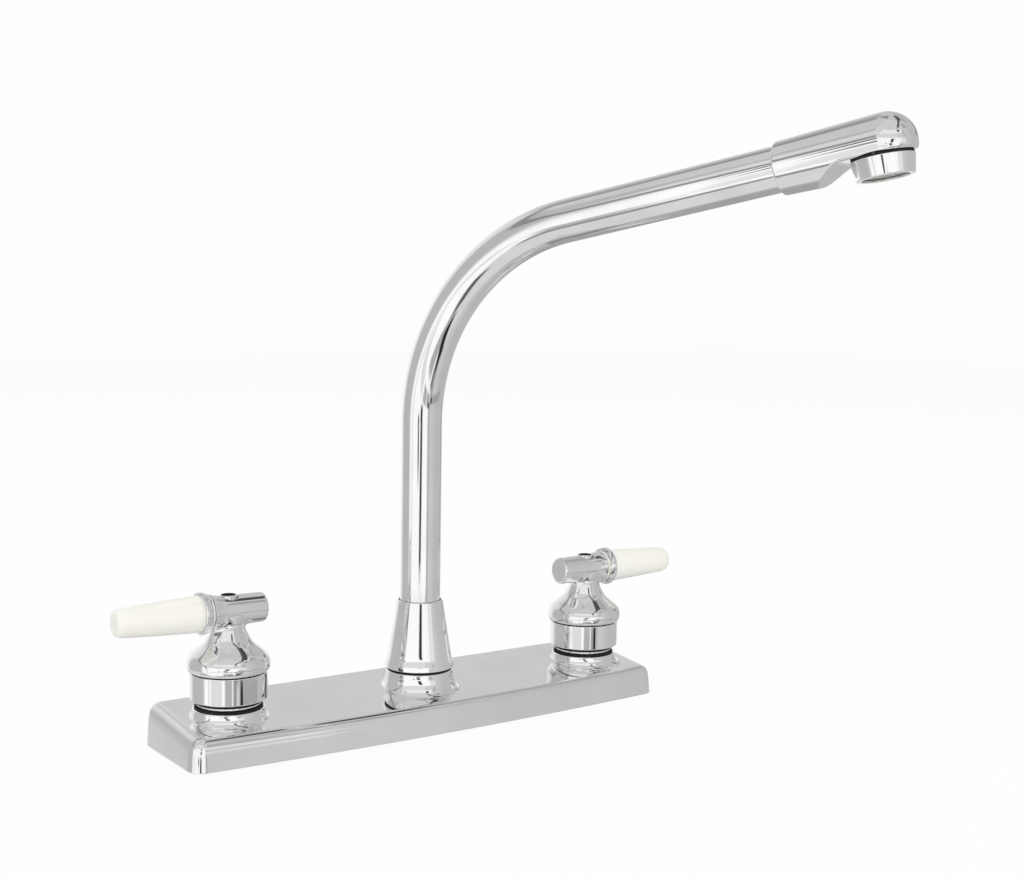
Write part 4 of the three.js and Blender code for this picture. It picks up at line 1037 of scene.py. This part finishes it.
screw_skin = skin(screw_field, (-5, -5, 48.4), (5, 5, 70.2), 0.2)
screw_steel = machined("screw_steel", (0.62, 0.62, 0.61), (0.45, 0.44, 0.43), 0.25)
stud_steel = machined("stud_steel", (0.60, 0.61, 0.62), (0.46, 0.47, 0.48), 0.3)
for side in ("hot", "cold"):
    at = valve_place(side)
    body = f"{side}_handle"
    casting = piece(f"handle_{side}", *handle_skin)
    fix(casting, body, "plated_zinc", zinc_chrome, f"handle_hub_{side}", at=at)
    lever = turned(f"lever_{side}", lever_section, 0.4, sides=112, closed=True)
    fix(lever, body, "porcelain", ivory_glaze, f"ceramic_lever_{side}", at=at @ along_lever())
    stud = turned(f"stud_{side}", [(0, 6), (2.9, 6, 0.5), (2.9, 46, 0.5), (0, 46)], 0.3, sides=48,
                  thread=(7, 45, 1.0, 0.35))
    fix(stud, body, "zinc_steel", stud_steel, f"lever_stud_{side}", at=at @ along_lever())
    screw = piece(f"screw_{side}", *screw_skin)
    fix(screw, body, "stainless_screw", screw_steel, f"handle_screw_{side}", at=at)
    button = turned(f"button_{side}", [
        (0, 69.6), (4.1, 69.6), (4.1, 72.1, 0.2), (3.6, 72.35, 0.15), (3.3, 72.2, 0.1), (0, 72.3),
    ], 0.2, sides=64)
    fix(button, body, "plated_plastic", button_chrome, f"index_button_{side}", at=at)
    # The sunk middle of the button's top is painted black, as painted shade for the dark line round the
    # button.
    button.data.materials.append(button_painted_shade)
    for face in button.data.polygons:
        spot = at.inverted() @ face.center
        face.material_index = int(spot.z > 0.0721 and spot.xy.length < 0.0034)


# ---- spout foot inside -----------------------------------
# The spout turns on a grooved brass shank in the hub of the valve body, sealed by two rubber rings
# between two nylon glide rings. Copper tubes bring the water from both valves.

hub_brass = machined("hub_brass", (0.72, 0.50, 0.22), (0.42, 0.28, 0.13), 0.34, 600.0, 0.6)
lathe_brass = machined("lathe_brass", (0.80, 0.58, 0.27), (0.60, 0.40, 0.18), 0.22)
glide_nylon = moulded("glide_nylon", (0.80, 0.79, 0.74), (0.70, 0.68, 0.60), 0.4)
hub = turned("hub", [
    (0, 3.4), (13.4, 3.4), (13.4, 22.4, 1), (11.9, 22.4, 0.6), (11.9, 38.2), (11.5, 38.6), (10.4, 38.6),
    (10.4, 14.9), (8.8, 14.9), (8.8, 4.6), (0, 4.6),
], 0.3, closed=False)
fix(hub, "base", "cast_brass", hub_brass, "spout_hub")
for level, low_face, high_face in [("lower", 38.9, 40.2), ("upper", 44.0, 45.3)]:
    ring = turned(f"glide_{level}", ring_section(10.3, 11.8, low_face, high_face), 0.25)
    fix(ring, "base", "white_nylon", glide_nylon, f"glide_ring_{level}")
shank = turned("shank", [
    (6.8, 15.2), (10, 15.2, 0.4), (10, 20.4), (8.3, 20.4), (8.3, 23.2), (10, 23.2), (10, 28.4),
    (8.3, 28.4), (8.3, 31.2), (10, 31.2), (10, 40.5), (11.4, 40.5), (11.4, 43.7), (8.5, 43.7),
    (8.5, 55.7, 0.5), (6.8, 55.7),
], 0.2)
fix(shank, "spout", "turned_brass", lathe_brass, "spout_shank", at=spout_place)
for level, low_face in [("lower", 20.7), ("upper", 28.7)]:
    seal = turned(f"seal_{level}", ring_section(8.5, 10.05, low_face, low_face + 2.2), 0.75, sides=72)
    fix(seal, "spout", "black_rubber", black_rubber, f"spout_ring_{level}", at=spout_place)


# ---- valves ----------------------------------------------
# Each brass end body holds a quarter turn cartridge: a rubber seat, two lapped ceramic discs and a
# splined spindle, held down by a hexagon nut. Its shank has a half inch pipe thread.

pipe_pitch = 1.81


def hexagon(x, y, across):
    """Signed distance from a bar with six flats."""
    sides = [x * cos(t) + y * sin(t) for t in (0, pi / 3, 2 * pi / 3)]
    return np.max([abs(s) for s in sides], axis=0) - across / 2


def nut_field(across, low_face, high_face, hole):
    """A hexagon nut with chamfered corners and a threaded hole."""
    middle, half = (low_face + high_face) / 2, (high_face - low_face) / 2

    def field(x, y, z):
        out = np.hypot(x, y)
        body = np.maximum(hexagon(x, y, across), abs(z - middle) - half)
        ends = np.minimum(z - low_face, high_face - z)
        body = np.maximum(body, (out - across * 0.53 - ends * 1.7) * 0.5)
        turn = np.arctan2(y, x) / (2 * pi)
        ridge = abs((z / pipe_pitch - turn) % 1 - 0.5) * 0.5
        return np.maximum(body, hole - ridge - out)

    return field


def two_ports(radius, low_face, high_face, along_y):
    """A disc with two round ports, side by side along Y or X."""
    def field(x, y, z):
        far, near = (x, abs(y)) if along_y else (y, abs(x))
        body = rod_field(radius, low_face, high_face, np.hypot(x, y), z)
        return np.maximum(body, 2.1 - np.hypot(far, near - 3.9))

    return field


def spindle_field(x, y, z):
    """A splined stem with a ring groove, standing on a foot that drives the upper disc."""
    out = np.hypot(x, y)
    spline = 3.55 + 0.35 * np.clip(2 * np.cos(10 * np.arctan2(y, x)), -1, 1)
    body = np.maximum((out - spline) * 0.8, abs(z - 48.6) - 8.6)
    for radius, low_face, high_face in ((4.6, 12, 22.1), (3.4, 22, 25), (4.6, 24.9, 41)):
        body = np.minimum(body, rod_field(radius, low_face, high_face, out, z))
    body = np.minimum(body, two_ports(7.3, 11, 13, True)(x, y, z))
    return np.maximum(body, -rod_field(2.3, 47.2, 60, out, z))


def cartridge_field(x, y, z):
    """A stepped sleeve with a cross hole for the water."""
    out = np.hypot(x, y)
    body = section_field([
        (7.7, 5.5), (8.6, 5.5), (8.6, 27.2), (9.3, 27.2), (9.3, 29.6), (6.6, 29.6), (6.6, 40), (6.1, 40.5),
        (5, 40.5), (5, 16.4), (7.7, 16.4),
    ], out, z)
    return np.maximum(body, 1.5 - np.hypot(y, z - 14.7))


def retainer_field(x, y, z):
    """A hexagon on a threaded collar, with a hole for the cartridge's neck."""
    out = np.hypot(x, y)
    body = np.minimum(rod_field(9.3, 29.9, 36.8, out, z), nut_field(20, 36.3, 38.9, 3)(x, y, z))
    return np.maximum(body, 6.9 - out)


zinc_steel = machined("zinc_steel", (0.62, 0.63, 0.62), (0.45, 0.45, 0.42), 0.4, 700.0)
bright_copper = machined("bright_copper", (0.83, 0.42, 0.26), (0.50, 0.24, 0.14), 0.28, 900.0, 0.6)
lapped_ceramic = moulded("lapped_ceramic", (0.86, 0.85, 0.82), (0.80, 0.79, 0.75), 0.18, 0.000002)
shapes = {
    "locknut": skin(nut_field(32, -40, -33, 10.7), (-19.4, -17.6, -41), (19.4, 17.6, -32), 0.4),
    "lower_disc": skin(two_ports(7.3, 5.8, 8.1, False), (-8.2, -8.2, 5), (8.2, 8.2, 9), 0.25),
    "upper_disc": skin(two_ports(7.3, 8.4, 10.7, True), (-8.2, -8.2, 7.6), (8.2, 8.2, 11.5), 0.25),
    "retainer": skin(retainer_field, (-12.4, -12.4, 29), (12.4, 12.4, 39.8), 0.35),
    "spindle": skin(spindle_field, (-8.2, -8.2, 10.2), (8.2, 8.2, 58), 0.3),
    "cartridge": skin(cartridge_field, (-10.2, -10.2, 4.7), (10.2, 10.2, 41.3), 0.35),
}
for side in ("hot", "cold"):
    at = valve_place(side)
    handle = f"{side}_handle"
    lying = at @ Matrix.Translation((0, 0, 0.0086)) @ Matrix.Rotation(pi / 2, 4, "Y")
    end = turned(f"end_{side}", [
        (6, -52), (9.6, -52, 0.3), (10.4, -51.2, 0.3), (10.4, 3.4, 0.3), (12.6, 3.4, 1),
        (12.6, 35.4, 0.3), (12, 36), (9.6, 36), (9.6, 3), (6, 3),
    ], 0.3, sides=108, thread=(-51, -2, pipe_pitch, 0.75))
    tube = turned(f"tube_{side}", ring_section(3.7, 4.6, -89.7, -11.1), 0.3, sides=64)
    clamp = turned(f"clamp_washer_{side}", ring_section(10.7, 20, -32.7, -31.1), 0.4)
    seat = turned(f"seat_{side}", ring_section(5.2, 8.2, 3.3, 5.2), 0.5, sides=72)
    ring = turned(f"spindle_seal_{side}", ring_section(3.6, 4.8, 22.4, 24.6), 0.55, sides=48)
    fix(end, "base", "cast_brass", hub_brass, f"end_body_{side}", at=at)
    fix(tube, "base", "copper_tube", bright_copper, f"cross_tube_{side}", at=lying)
    fix(clamp, "base", "zinc_steel", zinc_steel, f"shank_washer_{side}", at=at)
    fix(seat, "base", "black_rubber", black_rubber, f"seat_seal_{side}", at=at)
    fix(ring, handle, "black_rubber", black_rubber, f"spindle_ring_{side}", at=at)
    for name, shape, node, rides, slot, material in [
        ("locknut", "locknut", "shank_locknut", "base", "cast_brass", hub_brass),
        ("cartridge", "cartridge", "cartridge_body", "base", "turned_brass", lathe_brass),
        ("disc_lower", "lower_disc", "fixed_disc", "base", "valve_ceramic", lapped_ceramic),
        ("disc_upper", "upper_disc", "moving_disc", handle, "valve_ceramic", lapped_ceramic),
        ("retainer", "retainer", "retainer_nut", "base", "turned_brass", lathe_brass),
        ("spindle_brass", "spindle", "spindle", handle, "turned_brass", lathe_brass),
    ]:
        made = piece(f"{name}_{side}", *shapes[shape])
        fix(made, rides, slot, material, f"{node}_{side}", at=at)


# ---- under the plate -------------------------------------
# A moulded base plate closes the shell's mouth, and a foam gasket seals it to the sink deck.

ribbed_black = moulded("ribbed_black", (0.02, 0.02, 0.021), (0.045, 0.045, 0.045), 0.5, 0.00004)
pored_foam = moulded("pored_foam", (0.035, 0.035, 0.036), (0.07, 0.07, 0.068), 0.8, 0.0002)
for node, stuff in [("base_plate", ribbed_black), ("deck_gasket", pored_foam)]:
    for holder in bpy.data.objects[node].material_slots:
        holder.material = stuff


# ---- bounds of the pieces beside the CAD's ---------------

low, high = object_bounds()
{"cad": [list(cad_box[0]), list(cad_box[1])], "visual": [list(low), list(high)]}
